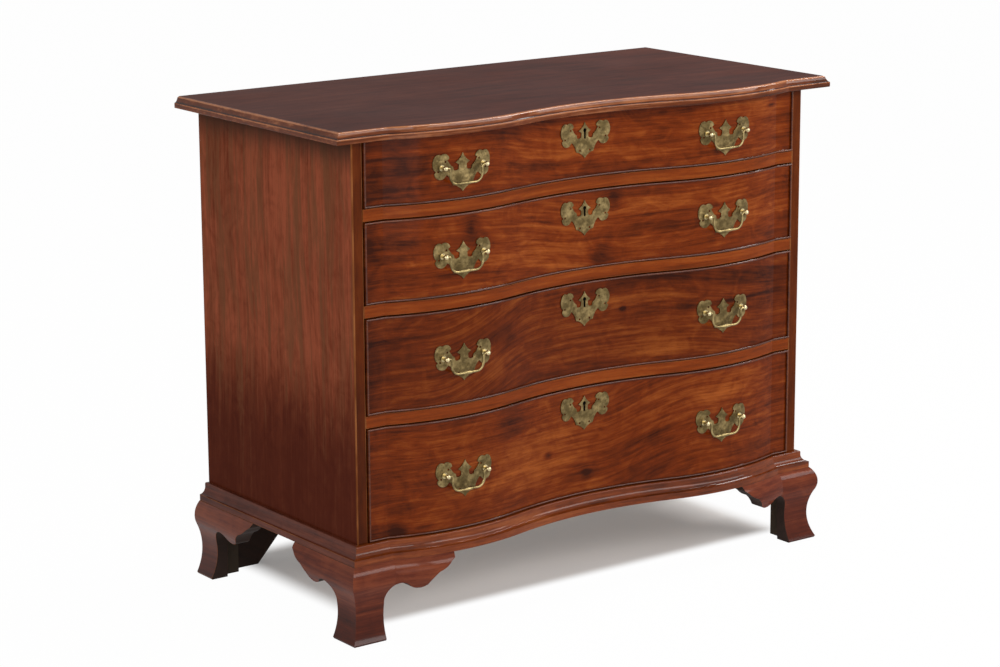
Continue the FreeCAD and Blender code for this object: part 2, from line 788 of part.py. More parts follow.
def build_posts(posts_at, lobe_face):
    """The four turned posts of a drawer and their nuts, at height zero."""
    ball_at = lobe_face - s.post_stand_off
    half = s.post_spacing / 2
    dip = lobe_radius - root(lobe_radius * lobe_radius - half * half)
    flange_back = lobe_face - s.plate_thickness - s.plate_seat + dip - s.post_flange / 2
    neck_drop = root(s.post_ball_radius * s.post_ball_radius - s.post_neck_radius * s.post_neck_radius)
    neck_at = ball_at + neck_drop
    shank_end = lobe_face + s.front_thickness + dip + s.post_shank_past
    profile = [
        (ZERO, ball_at - s.post_ball_radius),
        (s.post_ball_radius, ball_at),
        (s.post_neck_radius, neck_at),
        (s.post_neck_radius, flange_back - s.post_flange),
        (s.post_flange_radius, flange_back - s.post_flange),
        (s.post_flange_radius, flange_back),
        (s.post_shank_radius, flange_back),
        (s.post_shank_radius, shank_end),
        (ZERO, shank_end),
    ]
    body = doc.addObject("PartDesign::Body", "post_body")
    sketch = sketch_on(body, "XY_Plane", "post_profile")
    outline(sketch, profile, {0: (s.post_ball_radius, -1), 1: (s.post_ball_radius, -1)})
    revolved(body, sketch, "V_Axis", sized(360))
    bore_radius = s.bail_rod / 2 + s.bail_clearance
    bore_start = (-s.post_ball_radius, ball_at, ZERO)
    pin_bore = rod("post_pin_bore", (1, 0, 0), bore_radius, bore_start, 2 * s.post_ball_radius)
    post = cut("post", body, pin_bore)

    nut_radius = s.nut_across / math.sqrt(3)
    inner_radius = lobe_radius - s.front_thickness
    nut_edge = half + nut_radius
    nut_at = lobe_axis - root(inner_radius * inner_radius - nut_edge * nut_edge)
    nut_blank = doc.addObject("Part::Prism", "nut_blank")
    nut_blank.Polygon = 6
    nut_blank.Placement.Rotation = FreeCAD.Rotation(FreeCAD.Vector(0, 0, 1), FreeCAD.Vector(0, 1, 0))
    bind(nut_blank, Circumradius=nut_radius, Height=s.nut_thickness)
    place(nut_blank, ZERO, nut_at, ZERO)
    nut_bore = rod("nut_bore", (0, 1, 0), s.post_shank_radius, (ZERO, nut_at, ZERO), s.nut_thickness)
    nut = cut("nut", nut_blank, nut_bore)

    copies = []
    for number, x in enumerate(posts_at, start=1):
        copies += [moved(f"post_{number}", post, x), moved(f"nut_{number}", nut, x)]
    left = group("posts_left", *copies)
    return group("posts", left, mirrored("posts_right", left))


def build_bail(lobe_face):
    """A bail handle for the left pull, hanging down from its post line."""
    pin_end = s.post_spacing / 2 + s.bail_pin_past
    arm = s.bail_half_width
    foot = s.bail_drop - s.bail_sweep
    right = [
        (pin_end, ZERO), (arm + s.bail_bend, ZERO), (arm, -s.bail_bend), (arm, -foot),
        (arm - s.bail_sweep, -s.bail_drop),
    ]
    path = [(-x, z) for x, z in right] + list(reversed(right))
    last = len(path) - 2
    arcs = {
        1: (s.bail_bend, 1), 3: (s.bail_sweep, -1),
        last - 3: (s.bail_sweep, -1), last - 1: (s.bail_bend, 1),
    }
    body = doc.addObject("PartDesign::Body", "bail_body")
    body.Label = "bail body"
    spine = sketch_on(body, "XZ_Plane", "bail_spine")
    outline(spine, path, arcs, closed=False)
    section = sketch_on(body, "YZ_Plane", "bail_section", (ZERO, ZERO, -pin_end))
    hole(section, ZERO, ZERO, s.bail_rod / 2)
    pipe = body.newObject("PartDesign::AdditivePipe", "bail_pipe")
    pipe.Profile = section
    pipe.Spine = spine
    swell = sketch_on(body, "XZ_Plane", "bail_swell", (ZERO, -s.bail_drop, ZERO))
    half = s.bail_swell_half
    swell_radius = (half * half + s.bail_swell_radius * s.bail_swell_radius) / (2 * s.bail_swell_radius)
    outline(swell, [(-half, ZERO), (half, ZERO)], {1: (swell_radius, -1)})
    revolved(body, swell, "H_Axis", sized(360))
    return moved("bail", body, -lobe_distance, lobe_face - s.post_stand_off, ZERO)


def build_lock():
    """A drawer lock with its top at height zero and its bolt drawn back."""
    inner_face = front_plane + s.hollow_depth + s.front_thickness
    along = (inner_face - s.lock_let_in, inner_face - s.lock_let_in + s.lock_depth)
    half = s.lock_width / 2
    bolt_half = s.lock_bolt_width / 2
    bolt_along = (along[0] + s.lock_bolt_thickness, along[0] + 2 * s.lock_bolt_thickness)
    bolt = block("lock_bolt", (-bolt_half, bolt_half), bolt_along, (-s.lock_bolt_height, ZERO))
    case_blank = block("lock_case_blank", (-half, half), along, (-s.lock_height, -s.lock_selvage))
    selvage_blank = block("lock_selvage_blank", (-half, half), along, (-s.lock_selvage, ZERO))
    bore_length = s.lock_depth / 2
    bore = rod("lock_key_bore", (0, 1, 0), s.key_bore_radius, (ZERO, along[0], -s.key_drop), bore_length)
    pin = rod("lock_key_pin", (0, 1, 0), s.key_pin_radius, (ZERO, along[0], -s.key_drop), bore_length)
    space = block("lock_space", (-half, half), along, (-s.lock_height, ZERO))
    lock_case = cut("lock_case", case_blank, bolt, bore)
    selvage = cut("lock_selvage", selvage_blank, bolt)
    return group("lock", lock_case, selvage, bolt, pin), space


def notch_row(body, name, x, ends, heights):
    """Cuts a row of dovetail notches into the end of a drawer side, from its mouth to its root."""
    mouth, root_at = ends
    low, high = heights
    sketch = sketch_on(body, "YZ_Plane", name, (ZERO, low, x))
    tip = s.pin_tip / 2
    base = s.pin_root / 2
    outline(sketch, [(mouth, -tip), (root_at, -base), (root_at, base), (mouth, tip)])
    pocket = body.newObject("PartDesign::Pocket", name + "_pocket")
    pocket.Profile = sketch
    pocket.Type = "ThroughAll"
    pocket.SideType = "Symmetric"
    pattern = body.newObject("PartDesign::LinearPattern", name + "_row")
    pattern.Originals = [pocket]
    pattern.Direction = (sketch, ["V_Axis"])
    bind(pattern, Length=high - low)
    pattern.Occurrences = 1 + max(2, round((high - low).number / s.tail_pitch.number))
    body.Tip = pattern


def build_drawer(number, floor, opening, tools, brasses, lock, lock_space):
    """A dovetailed drawer with cock beads, brasses and a lock."""
    name = f"drawer_{number}"
    half = inside_half - s.drawer_gap
    low = floor + s.drawer_gap
    high = floor + opening - s.drawer_gap
    side_low = floor + s.runner_clearance
    side_high = high - s.drawer_side_drop
    drawer_end = back_face - s.drawer_back_room
    bottom_low = side_low + s.drawer_bottom_lift
    bottom_high = bottom_low + s.drawer_bottom
    groove_half = half - s.drawer_side + s.groove_depth
    post_line = floor + opening / 2

    bottom_along = (front_plane - s.lobe_reach, drawer_end)
    bottom_heights = (bottom_low, bottom_high)
    bottom_blank = block(name + "_bottom_blank", (-groove_half, groove_half), bottom_along, bottom_heights)
    bottom = cut(name + "_bottom", bottom_blank, tools.groove)

    side_body = doc.addObject("PartDesign::Body", name + "_side_body")
    side_sketch = sketch_on(side_body, "YZ_Plane", name + "_side_outline", (ZERO, ZERO, -half))
    side_front = front_plane + s.front_lap
    corners = [
        (side_front, side_low), (drawer_end, side_low), (drawer_end, side_high), (side_front, side_high),
    ]
    outline(side_sketch, corners)
    pad(side_body, side_sketch, s.drawer_side)
    front_ends = (side_front, front_plane + s.front_thickness)
    notch_row(side_body, name + "_front_notch", -half, front_ends, (side_low, side_high))
    back_ends = (drawer_end, drawer_end - s.drawer_back)
    back_high = side_high - s.drawer_back_drop
    notch_row(side_body, name + "_back_notch", -half, back_ends, (bottom_high, back_high))
    left_side = cut(name + "_left_side", side_body, bottom)
    right_side = mirrored(name + "_right_side", left_side)

    back_along = (drawer_end - s.drawer_back, drawer_end)
    back_blank = block(name + "_back_blank", (-half, half), back_along, (bottom_high, back_high))
    back = cut(name + "_back", back_blank, left_side, right_side)

    top_bead = moved(name + "_top_bead", tools.bead, ZERO, ZERO, high - s.bead_thickness)
    low_bead = moved(name + "_low_bead", tools.bead, ZERO, ZERO, low)
    bead_height = high - low - 2 * s.bead_thickness
    nose = front_plane - s.bead_reach
    bead_points = [
        (-half, front_plane + s.bead_let_in), (-half, nose), (-half + s.bead_thickness, nose),
        (-half + s.bead_thickness, front_plane + s.bead_let_in),
    ]
    bead_arcs = {1: (s.bead_round, -1)}
    bead_at = (ZERO, ZERO, low + s.bead_thickness)
    left_bead = prism(name + "_left_bead", "XY_Plane", bead_points, bead_arcs, bead_height, bead_at)
    right_bead = mirrored(name + "_right_bead", left_bead)
    beads = group(name + "_cock_beads", top_bead, low_bead, left_bead, right_bead)

    lock_here = moved(name + "_lock", lock, ZERO, ZERO, high)
    space_here = moved(name + "_lock_space", lock_space, ZERO, ZERO, high)
    bores = moved(name + "_bores", brasses.bores, ZERO, ZERO, post_line)
    keyhole = moved(name + "_keyhole", brasses.keyhole, ZERO, ZERO, high - s.key_drop)
    front_along = (front_plane - s.lobe_reach - s.overrun, back_plane)
    front_block = block(name + "_front_space", (-half, half), front_along, (low, high))
    blank = shared(name + "_front_blank", tools.front, front_block)
    front = cut(name + "_front", blank, left_side, right_side, bottom, beads, space_here, bores, keyhole)

    plate = moved(name + "_plate_left", brasses.plate, ZERO, ZERO, post_line)
    crest = floor + opening - s.keyplate_below_opening
    keyplate_blank = moved(name + "_keyplate_blank", brasses.keyplate, ZERO, ZERO, crest)
    keyplate = cut(name + "_keyplate", keyplate_blank, keyhole)
    plates = group(name + "_brass_plates", plate, mirrored(name + "_plate_right", plate), keyplate)
    posts = moved(name + "_bail_posts", brasses.posts, ZERO, ZERO, post_line)
    left_bail = moved(name + "_left_bail", brasses.bail, ZERO, ZERO, post_line)
    right_bail = mirrored(name + "_right_bail", left_bail)
    return [
        front, left_side, right_side, back, bottom, beads, plates, posts, left_bail, right_bail, lock_here,
    ]


def build_drawers():
    brasses = build_brasses()
    lock, lock_space = build_lock()
    half = inside_half - s.drawer_gap
    groove_reach = s.lobe_reach + s.overrun
    groove_floor = s.front_thickness - s.groove_depth
    bead_profile = [
        (-s.bead_let_in, ZERO), (s.bead_reach, ZERO), (s.bead_reach, s.bead_thickness),
        (-s.bead_let_in, s.bead_thickness),
    ]
    tools = SimpleNamespace(
        front=band("drawer_front_band", ZERO, s.front_thickness, case_floor, case_top, half),
        groove=band("groove_space", groove_reach, groove_floor, case_floor, case_top, case_half),
        bead=front_run("bead_strip", bead_profile, {1: (s.bead_round, 1)}, s.bead_let_in, half),
    )
    pieces = []
    for number, (floor, opening) in enumerate(zip(floors, openings), start=1):
        pieces += build_drawer(number, floor, opening, tools, brasses, lock, lock_space)
    return pieces


def check(nodes):
    """Stops if any object failed or any piece is empty or faulty."""
    failed = [item.Name for item in doc.Objects if {"Invalid", "Error"} & set(item.State)]
    faulty = [item.Name for item in nodes if item.Shape.isNull() or not item.Shape.isValid()]
    if failed or faulty:
        raise RuntimeError(f"failed: {failed}, faulty: {faulty}")


def main():
    mitre_tools = build_mitre_tools()
    nodes = [build_top(), *build_case(mitre_tools), *build_feet(mitre_tools), *build_drawers()]
    doc.recompute()
    check(nodes)
    os.makedirs("parts", exist_ok=True)
    for node in nodes:
        node.Shape.exportStep(f"parts/{node.Label}.step")
        print(f"{node.Label}: {len(node.Shape.Solids)} solids, {node.Shape.Volume:.0f} mm3")


main()
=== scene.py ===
"""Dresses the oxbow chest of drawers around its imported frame."""
import logging
import math
from collections.abc import Callable
from dataclasses import dataclass, replace
from enum import Enum
from functools import cache

import bmesh
import bpy
from bmesh.types import BMEdge, BMFace, BMVert
from bpy.types import ColorRamp, Material, NodeSocket, World
from mathutils import Matrix, Vector


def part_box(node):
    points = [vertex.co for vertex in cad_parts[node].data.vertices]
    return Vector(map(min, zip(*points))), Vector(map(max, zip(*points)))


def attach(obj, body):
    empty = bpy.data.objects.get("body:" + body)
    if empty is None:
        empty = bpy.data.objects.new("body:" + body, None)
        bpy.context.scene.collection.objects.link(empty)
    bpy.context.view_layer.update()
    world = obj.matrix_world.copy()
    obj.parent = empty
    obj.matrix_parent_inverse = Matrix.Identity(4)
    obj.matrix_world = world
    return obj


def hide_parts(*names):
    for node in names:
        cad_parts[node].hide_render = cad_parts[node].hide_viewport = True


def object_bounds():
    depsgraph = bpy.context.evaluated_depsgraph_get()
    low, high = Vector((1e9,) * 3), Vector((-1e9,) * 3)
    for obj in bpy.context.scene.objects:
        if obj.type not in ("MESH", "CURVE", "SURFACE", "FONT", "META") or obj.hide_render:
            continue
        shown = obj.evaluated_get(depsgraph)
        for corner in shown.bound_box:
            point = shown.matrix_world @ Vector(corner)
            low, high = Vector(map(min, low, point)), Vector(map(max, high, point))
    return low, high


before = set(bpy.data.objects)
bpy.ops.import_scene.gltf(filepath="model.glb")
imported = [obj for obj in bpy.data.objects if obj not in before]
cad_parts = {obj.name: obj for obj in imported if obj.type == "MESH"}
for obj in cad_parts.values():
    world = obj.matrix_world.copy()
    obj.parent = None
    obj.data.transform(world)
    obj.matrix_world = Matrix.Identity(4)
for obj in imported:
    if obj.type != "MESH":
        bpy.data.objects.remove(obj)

CAD_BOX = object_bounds()
LOG = logging.getLogger("chest")

MM = 0.001
FOOT_HEIGHT = 130.0 * MM
PLANK = 228.5 * MM
# On the mitre between a foot's two brackets, the distance from the middle plus y is this.
FOOT_MITRE = 0.2613

MERGE_DISTANCE = 2e-6
CUT_DISTANCE = 1e-6
FLAT_ANGLE = math.radians(0.3)
EDGE_ANGLE = math.radians(40.0)
CREASE_ANGLE = math.radians(12.0)
# A face is upright if at least this much of its normal lies level.
UPRIGHT_SHARE = 0.3
EASED_SEGMENTS = 2

WHITE = (1.0, 1.0, 1.0, 1.0)
# The middle of the noise and of a smooth step.
MEAN = 0.5

Pair = tuple[float, float]
Triple = tuple[float, float, float]
Colour = Triple
Place = Triple
Piece = bpy.types.Object
Mesh = bmesh.types.BMesh
Choice = Callable[[Vector, Vector], bool]


class Grain(Enum):
    """The direction in which a board's fibres run."""

    ALONG_X = "x"
    ALONG_Y = "y"
    ALONG_Z = "z"
    ROUND_FOOT = "foot"


@dataclass(frozen=True)
class Layer:
    """A layer of soft noise in a board or in metal.

    Args:
        waves: waves for each metre along the fibres, across them and through the board.
        seeded: whether the board's own seed moves the layer in each of these directions.
        detail, roughness, distortion: the noise's settings.
    """

    waves: Triple
    seeded: tuple[bool, bool, bool] = (False, False, False)
    detail: float = 2.0
    roughness: float = 0.5
    distortion: float = 0.0


class Field:
    """A value that changes over a surface, written with Python's operators."""

    def __init__(self, shader: "Shader", socket: NodeSocket) -> None:
        """Wraps a node's output socket."""
        self.shader = shader
        self.socket = socket

    def _math(self, operation: str, *values: "Field | float") -> "Field":
        """Adds a Math node."""
        inputs = dict(enumerate(values))
        return self.shader.node("ShaderNodeMath", {"operation": operation}, inputs)

    def __add__(self, other: "Field | float") -> "Field":
        """The sum."""
        return self._math("ADD", self, other)

    __radd__ = __add__

    def __sub__(self, other: "Field | float") -> "Field":
        """The difference."""
        return self._math("SUBTRACT", self, other)

    def __rsub__(self, other: "Field | float") -> "Field":
        """The difference the other way round."""
        return self._math("SUBTRACT", other, self)

    def __mul__(self, other: "Field | float") -> "Field":
        """The product."""
        return self._math("MULTIPLY", self, other)

    __rmul__ = __mul__

    def __truediv__(self, other: "Field | float") -> "Field":
        """The quotient."""
        return self._math("DIVIDE", self, other)

    def __gt__(self, other: "Field | float") -> "Field":
        """One where the value is greater, else zero."""
        return self._math("GREATER_THAN", self, other)

    def absolute(self) -> "Field":
        """The value without its sign."""
        return self._math("ABSOLUTE", self)

    def most(self, other: "Field | float") -> "Field":
        """The greater of two values."""
        return self._math("MAXIMUM", self, other)

    def exponent(self) -> "Field":
        """The natural exponential."""
        return self._math("EXPONENT", self)

    def floored(self) -> "Field":
        """The whole number below."""
        return self._math("FLOOR", self)

    def ranged(self, least: float, more: float) -> "Field":
        """The value times one number, with another one added."""
        return least + self * more

    def stepped(self, low: float, high: float) -> "Field":
        """A smooth step: zero up to the low value, and one from the high value on."""
        settings = {"interpolation_type": "SMOOTHSTEP"}
        inputs = {"Value": self, "From Min": low, "From Max": high, "To Min": 0.0, "To Max": 1.0}
        return self.shader.node("ShaderNodeMapRange", settings, inputs)


Board = tuple[Field, Field, Field]


class Shader:
    """The nodes of a material or of the world, written as expressions."""

    def __init__(self, owner: Material | World) -> None:
        """Starts an empty node tree in a material or world."""
        self.owner = owner
        owner.use_nodes = True
        self.tree = owner.node_tree
        self.tree.nodes.clear()

    def node(self, kind: str, settings: dict | None = None, inputs: dict | None = None,
             output: int | str = 0) -> Field:
        """Adds any node.

        Args:
            kind: the node's type.
            settings: its properties, or a ramp's stops under the name stops.
            inputs: values or fields for its sockets, by name or number.
            output: the socket to return.
        """
        item = self.tree.nodes.new(kind)
        for name, value in (settings or {}).items():
            if name == "stops":
                self._set_stops(item.color_ramp, value)
            else:
                setattr(item, name, value)
        for name, value in (inputs or {}).items():
            if isinstance(value, Field):
                self.tree.links.new(value.socket, item.inputs[name])
            else:
                item.inputs[name].default_value = value
        return Field(self, item.outputs[output])

    @staticmethod
    def _set_stops(ramp: ColorRamp, stops: list[tuple[float, Colour]]) -> None:
        """Sets a colour ramp's stops, each with its position and colour."""
        while len(ramp.elements) < len(stops):
            ramp.elements.new(1.0)
        for element, (position, colour) in zip(ramp.elements, stops):
            element.position = position
            element.color = (*colour, 1.0)

    def position(self) -> Board:
        """The x, y and z of a place on the piece, in metres."""
        point = self.node("ShaderNodeTexCoord", output="Object")
        split = self.node("ShaderNodeSeparateXYZ", inputs={"Vector": point})
        x, y, z = (Field(self, socket) for socket in split.socket.node.outputs)
        return x, y, z

    def layer(self, place: Board, layer: Layer, seed: Field | float = 0.0) -> Field:
        """A layer of noise, about one half on average.

        Args:
            place: the place in the board, or on the piece, in metres.
            layer: the layer.
            seed: the board's own seed.
        """
        moved = {}
        for axis, (value, waves) in enumerate(zip(place, layer.waves)):
            scaled = value * waves
            moved[axis] = scaled + seed if layer.seeded[axis] else scaled
        inputs = {
            "Vector": self.node("ShaderNodeCombineXYZ", inputs=moved), "Scale": 1.0,
            "Detail": layer.detail, "Roughness": layer.roughness, "Distortion": layer.distortion,
        }
        return self.node("ShaderNodeTexNoise", inputs=inputs)

    def ramp(self, value: Field, stops: list[tuple[float, Colour]]) -> Field:
        """A colour for each value."""
        return self.node("ShaderNodeValToRGB", {"stops": stops}, {"Fac": value})

    def mix(self, share: Field, first: Field | Colour, second: Field | Colour) -> Field:
        """Mixes two colours by the share of the second one."""
        inputs = {0: share}
        for socket, colour in ((6, first), (7, second)):
            inputs[socket] = colour if isinstance(colour, Field) else (*colour, 1.0)
        return self.node("ShaderNodeMix", {"data_type": "RGBA"}, inputs, output=2)

    def attribute(self, name: str) -> Field:
        """A value that the piece's mesh carries."""
        return self.node("ShaderNodeAttribute", {"attribute_name": name}, output="Fac")

    def bump(self, height: Field, distance: float) -> Field:
        """A normal that follows a height, in metres."""
        inputs = {"Strength": 1.0, "Distance": distance, "Height": height}
        return self.node("ShaderNodeBump", inputs=inputs)

    def surface(self, **sockets: Field | float) -> Material:
        """Closes the tree with a principled surface.

        Args:
            sockets: its values, under the sockets' names in lower case.
        """
        inputs = {}
        for name, value in sockets.items():
            socket = name.replace("_", " ").title().replace("Ior", "IOR")
            inputs[socket] = value
        return self.closed(self.node("ShaderNodeBsdfPrincipled", inputs=inputs))

    def closed(self, shade: Field) -> Material | World:
        """Links a shader to the output, and gives the material or world."""
        world = isinstance(self.owner, World)
        item = self.tree.nodes.new("ShaderNodeOutputWorld" if world else "ShaderNodeOutputMaterial")
        self.tree.links.new(shade.socket, item.inputs["Surface"])
        return self.owner

    def in_view(self) -> Field:
        """One for what the camera sees, by itself or in metal and glass, else zero."""
        rays = ("Is Camera Ray", "Is Glossy Ray", "Is Transmission Ray")
        camera, glossy, through = (self.node("ShaderNodeLightPath", output=ray) for ray in rays)
        return camera.most(glossy).most(through)


def place_in_board(shader: Shader, grain: Grain) -> Board:
    """The place along a board's fibres, across them and through the board, in metres."""
    x, y, z = shader.position()
    if grain is Grain.ALONG_X:
        return x, z, y
    if grain is Grain.ALONG_Y:
        return y, z, x
    if grain is Grain.ALONG_Z:
        return z, y, x
    beside = (x.absolute() + y) > FOOT_MITRE
    before = 1.0 - beside
    return beside * y + before * x, z, beside * x + before * y


@dataclass(frozen=True)
class Mark:
    """A place in a board's figure: where it is, how far it reaches, and how dark or light it is.

    Args:
        x, z: its place on the chest, in metres.
        wide, high: its reach.
        dark: its darkness, below zero for a light place.
        knot: whether the fibres run round it.
    """

    KNOT_BEND = 0.6

    x: float
    z: float
    wide: float
    high: float
    dark: float
    knot: bool = False


@dataclass(frozen=True)
class Sweep:
    """A place along a board where the figure rises across it."""

    start: float
    end: float
    rise: float


@dataclass(frozen=True)
class Mahogany:
    """Polished mahogany.

    Args:
        name: the material's name.
        grain: the direction of the fibres.
        dark, middle, light: the colours of the figure.
        worn_and_highlight: the colour of rubbed edges, partly real wear and partly a painted
        highlight along the arrises.
        bend: how far the figure wanders across the board, in metres.
        bands: broad bands of colour for each metre across the board.
        contrast: the strength of the bands.
        mottle: the strength of the cross figure.
        seed: the board's own figure.
        gloss: the share of polish.
        sheen: the polish's roughness.
        sweeps: where the figure rises.
        marks: knots, stains and light places, and also painted shade and painted highlights.
        painted_shade_below: the heights between which the wood gets paler upwards, and by how
        much: a painted shade that darkens the board towards the bottom.
        tint: a second colour in streaks along the fibres.
        shaded: the heights between which the board darkens upwards, a painted shadow below
        the top's overhang.
        rough_within: the distance from the middle within which a foot is a rough board, painted
        near black as a painted shade under the chest.
    """

    WANDER = Layer((1.6, 3.0, 2.0), (True, True, False))
    STREAK = Layer((9.0, 200.0, 60.0), (False, True, False), 3.0, 0.65)
    CROSS = Layer((22.0, 30.0, 9.0), (True, False, False), 4.0, distortion=1.5)
    PORE = Layer((45.0, 1100.0, 700.0), detail=1.0)
    STRIPE = Layer((4.0, 46.0, 3.0), (True, False, False), 4.0, 0.65, 0.8)
    PATCH = Layer((14.0, 14.0, 14.0))
    SMUDGE = Layer((5.0, 9.0, 7.0), detail=4.0)

    STREAK_SHARE = 0.85
    MARK_SHARE = 0.5
    STOPS = (0.05, 0.30, 0.52, 0.95)
    PORE_STEP = (0.60, 0.72)
    PORE_SHARE = 0.3
    # Painted shade below: how far the figure lightens upwards, and how dark it gets towards the
    # bottom.
    SHADE_BELOW_LIFT = 0.6
    SHADE_BELOW_SHARE = 0.85
    SHADE_BELOW_DEPTH = 0.8
    STRIPE_STEP = (0.40, 0.66)
    TINT_STEP = (0.2, 0.8)
    TINT_SHARE = 0.7
    # The painted shadow below the top's overhang: its colour and its share.
    SHADE = (0.030, 0.018, 0.012)
    SHADE_SHARE = 0.85
    PATCH_STEP = (0.35, 0.65)
    WORN_AND_HIGHLIGHT_SHARES = (0.3, 0.5)
    GLOSS_SHARES = (0.75, 0.5)
    RUBBED_LOSS = 0.8
    ROUGHNESS = (0.45, 0.2)
    # Near-black colours of a rough board: a painted shade under the chest.
    SHADED_ROUGH_BOARD = ((0.008, 0.006, 0.005), (0.035, 0.024, 0.018))
    STREAK_RELIEF = 0.6
    RELIEF = 0.06 * MM

    name: str
    grain: Grain
    dark: Colour = (0.036, 0.006, 0.001)
    middle: Colour = (0.155, 0.024, 0.0025)
    light: Colour = (0.31, 0.075, 0.011)
    worn_and_highlight: Colour = (0.32, 0.12, 0.04)
    bend: float = 0.02
    bands: float = 42.0
    contrast: float = 1.1
    mottle: float = 0.6
    seed: float = 0.0
    gloss: float = 0.17
    sheen: float = 0.12
    sweeps: tuple[Sweep, ...] = ()
    marks: tuple[Mark, ...] = ()
    painted_shade_below: Triple | None = None
    tint: Colour | None = None
    shaded: Pair | None = None
    rough_within: float = 0.0

    @property
    def band(self) -> Layer:
        """The broad bands of colour."""
        return Layer((2.2, self.bands, 6.0), (True, False, True), 4.0, 0.6, 0.6)

    def bent(self, shader: Shader, face: Board) -> tuple[Field, Field | None]:
        """Bends the figure round the knots and up the sweeps.

        Returns:
            The bent place across the fibres, and the marks' shade.
        """
        along, across, _ = face
        shade = None
        bent = across
        for mark in self.marks:
            aside = (along - mark.x) / mark.wide
            up = (across - mark.z) / mark.high
            near = ((aside * aside + up * up) * -1.0).exponent()
            if mark.knot:
                bent = bent - near * up * (mark.KNOT_BEND * mark.high)
            spot = near * mark.dark
            shade = spot if shade is None else shade + spot
        bent = bent + (shader.layer(face, self.WANDER, self.seed) - MEAN) * (self.bend * 2.0)
        for sweep in self.sweeps:
            bent = bent - along.stepped(sweep.start, sweep.end) * sweep.rise
        return bent, shade

    def figure(self, shader: Shader, fibres: Board, streak: Field, shade: Field | None) -> Field:
        """The board's figure, about one half on average, and greater where the wood is lighter."""
        band = shader.layer(fibres, self.band, self.seed)
        cross = shader.layer(fibres, self.CROSS, self.seed)
        value = MEAN + (band - MEAN) * self.contrast + (streak - MEAN) * self.STREAK_SHARE
        value = value + (cross - MEAN) * self.mottle
        return value if shade is None else value - shade * self.MARK_SHARE

    def coloured(self, shader: Shader, fibres: Board, rise: Field, value: Field) -> Field:
        """Colours the figure, with the places that light and shade have changed."""
        between = tuple((first + second) / 2 for first, second in zip(self.dark, self.middle))
        stops = list(zip(self.STOPS, (self.dark, between, self.middle, self.light)))
        # Painted shade: the board is paler upwards and darker towards the bottom.
        low, high, share = self.painted_shade_below or (0.0, 1.0, 0.0)
        if share:
            pale = rise.stepped(low, high)
            value = value + (pale - MEAN) * (self.SHADE_BELOW_LIFT * share)
        colour = shader.ramp(value, stops)
        if share:
            deep = tuple(self.SHADE_BELOW_DEPTH * part for part in between)
            colour = shader.mix((1.0 - pale) * (self.SHADE_BELOW_SHARE * share), colour, deep)
        if self.tint:
            stripe = shader.layer(fibres, self.STRIPE, self.seed).stepped(*self.STRIPE_STEP)
            share = stripe * value.stepped(*self.TINT_STEP) * self.TINT_SHARE
            colour = shader.mix(share, colour, self.tint)
        # Painted shadow: the board darkens upwards below the top's overhang.
        if self.shaded:
            colour = shader.mix(rise.stepped(*self.shaded) * self.SHADE_SHARE, colour, self.SHADE)
        return colour

    def make(self) -> Material:
        """Builds the material."""
        shader = Shader(bpy.data.materials.new(self.name))
        along, height, through = face = place_in_board(shader, self.grain)
        rise = along if self.grain is Grain.ALONG_Z else height
        across, shade = self.bent(shader, face)
        fibres = (along, across, through)
        streak = shader.layer(fibres, self.STREAK, self.seed)
        pore = shader.layer(fibres, self.PORE).stepped(*self.PORE_STEP)
        value = self.figure(shader, fibres, streak, shade)
        colour = self.coloured(shader, fibres, rise, value)
        colour = shader.mix(pore * self.PORE_SHARE, colour, self.dark)
        # Rubbed edges are lighter: partly wear, partly a painted highlight along the arrises.
        rubbed = shader.attribute("rubbed")
        patches = shader.layer(face, self.PATCH).stepped(*self.PATCH_STEP)
        colour = shader.mix(rubbed * patches.ranged(*self.WORN_AND_HIGHLIGHT_SHARES), colour, self.worn_and_highlight)
        smudge = shader.layer(face, self.SMUDGE)
        polish = smudge.ranged(*self.GLOSS_SHARES)
        gloss = polish * (1.0 - rubbed * self.RUBBED_LOSS) * self.gloss
        if self.rough_within:
            x, _, _ = shader.position()
            rough = 1.0 - (x.absolute() > self.rough_within)
            colour = shader.mix(rough, colour, shader.mix(streak, *self.SHADED_ROUGH_BOARD))
            gloss = gloss * (1.0 - rough)
        return shader.surface(
            base_color=colour,
            roughness=smudge.ranged(*self.ROUGHNESS),
            specular_IOR_level=0.0,
            coat_weight=gloss,
            coat_roughness=self.sheen,
            normal=shader.bump(streak * self.STREAK_RELIEF - pore, self.RELIEF),
        )


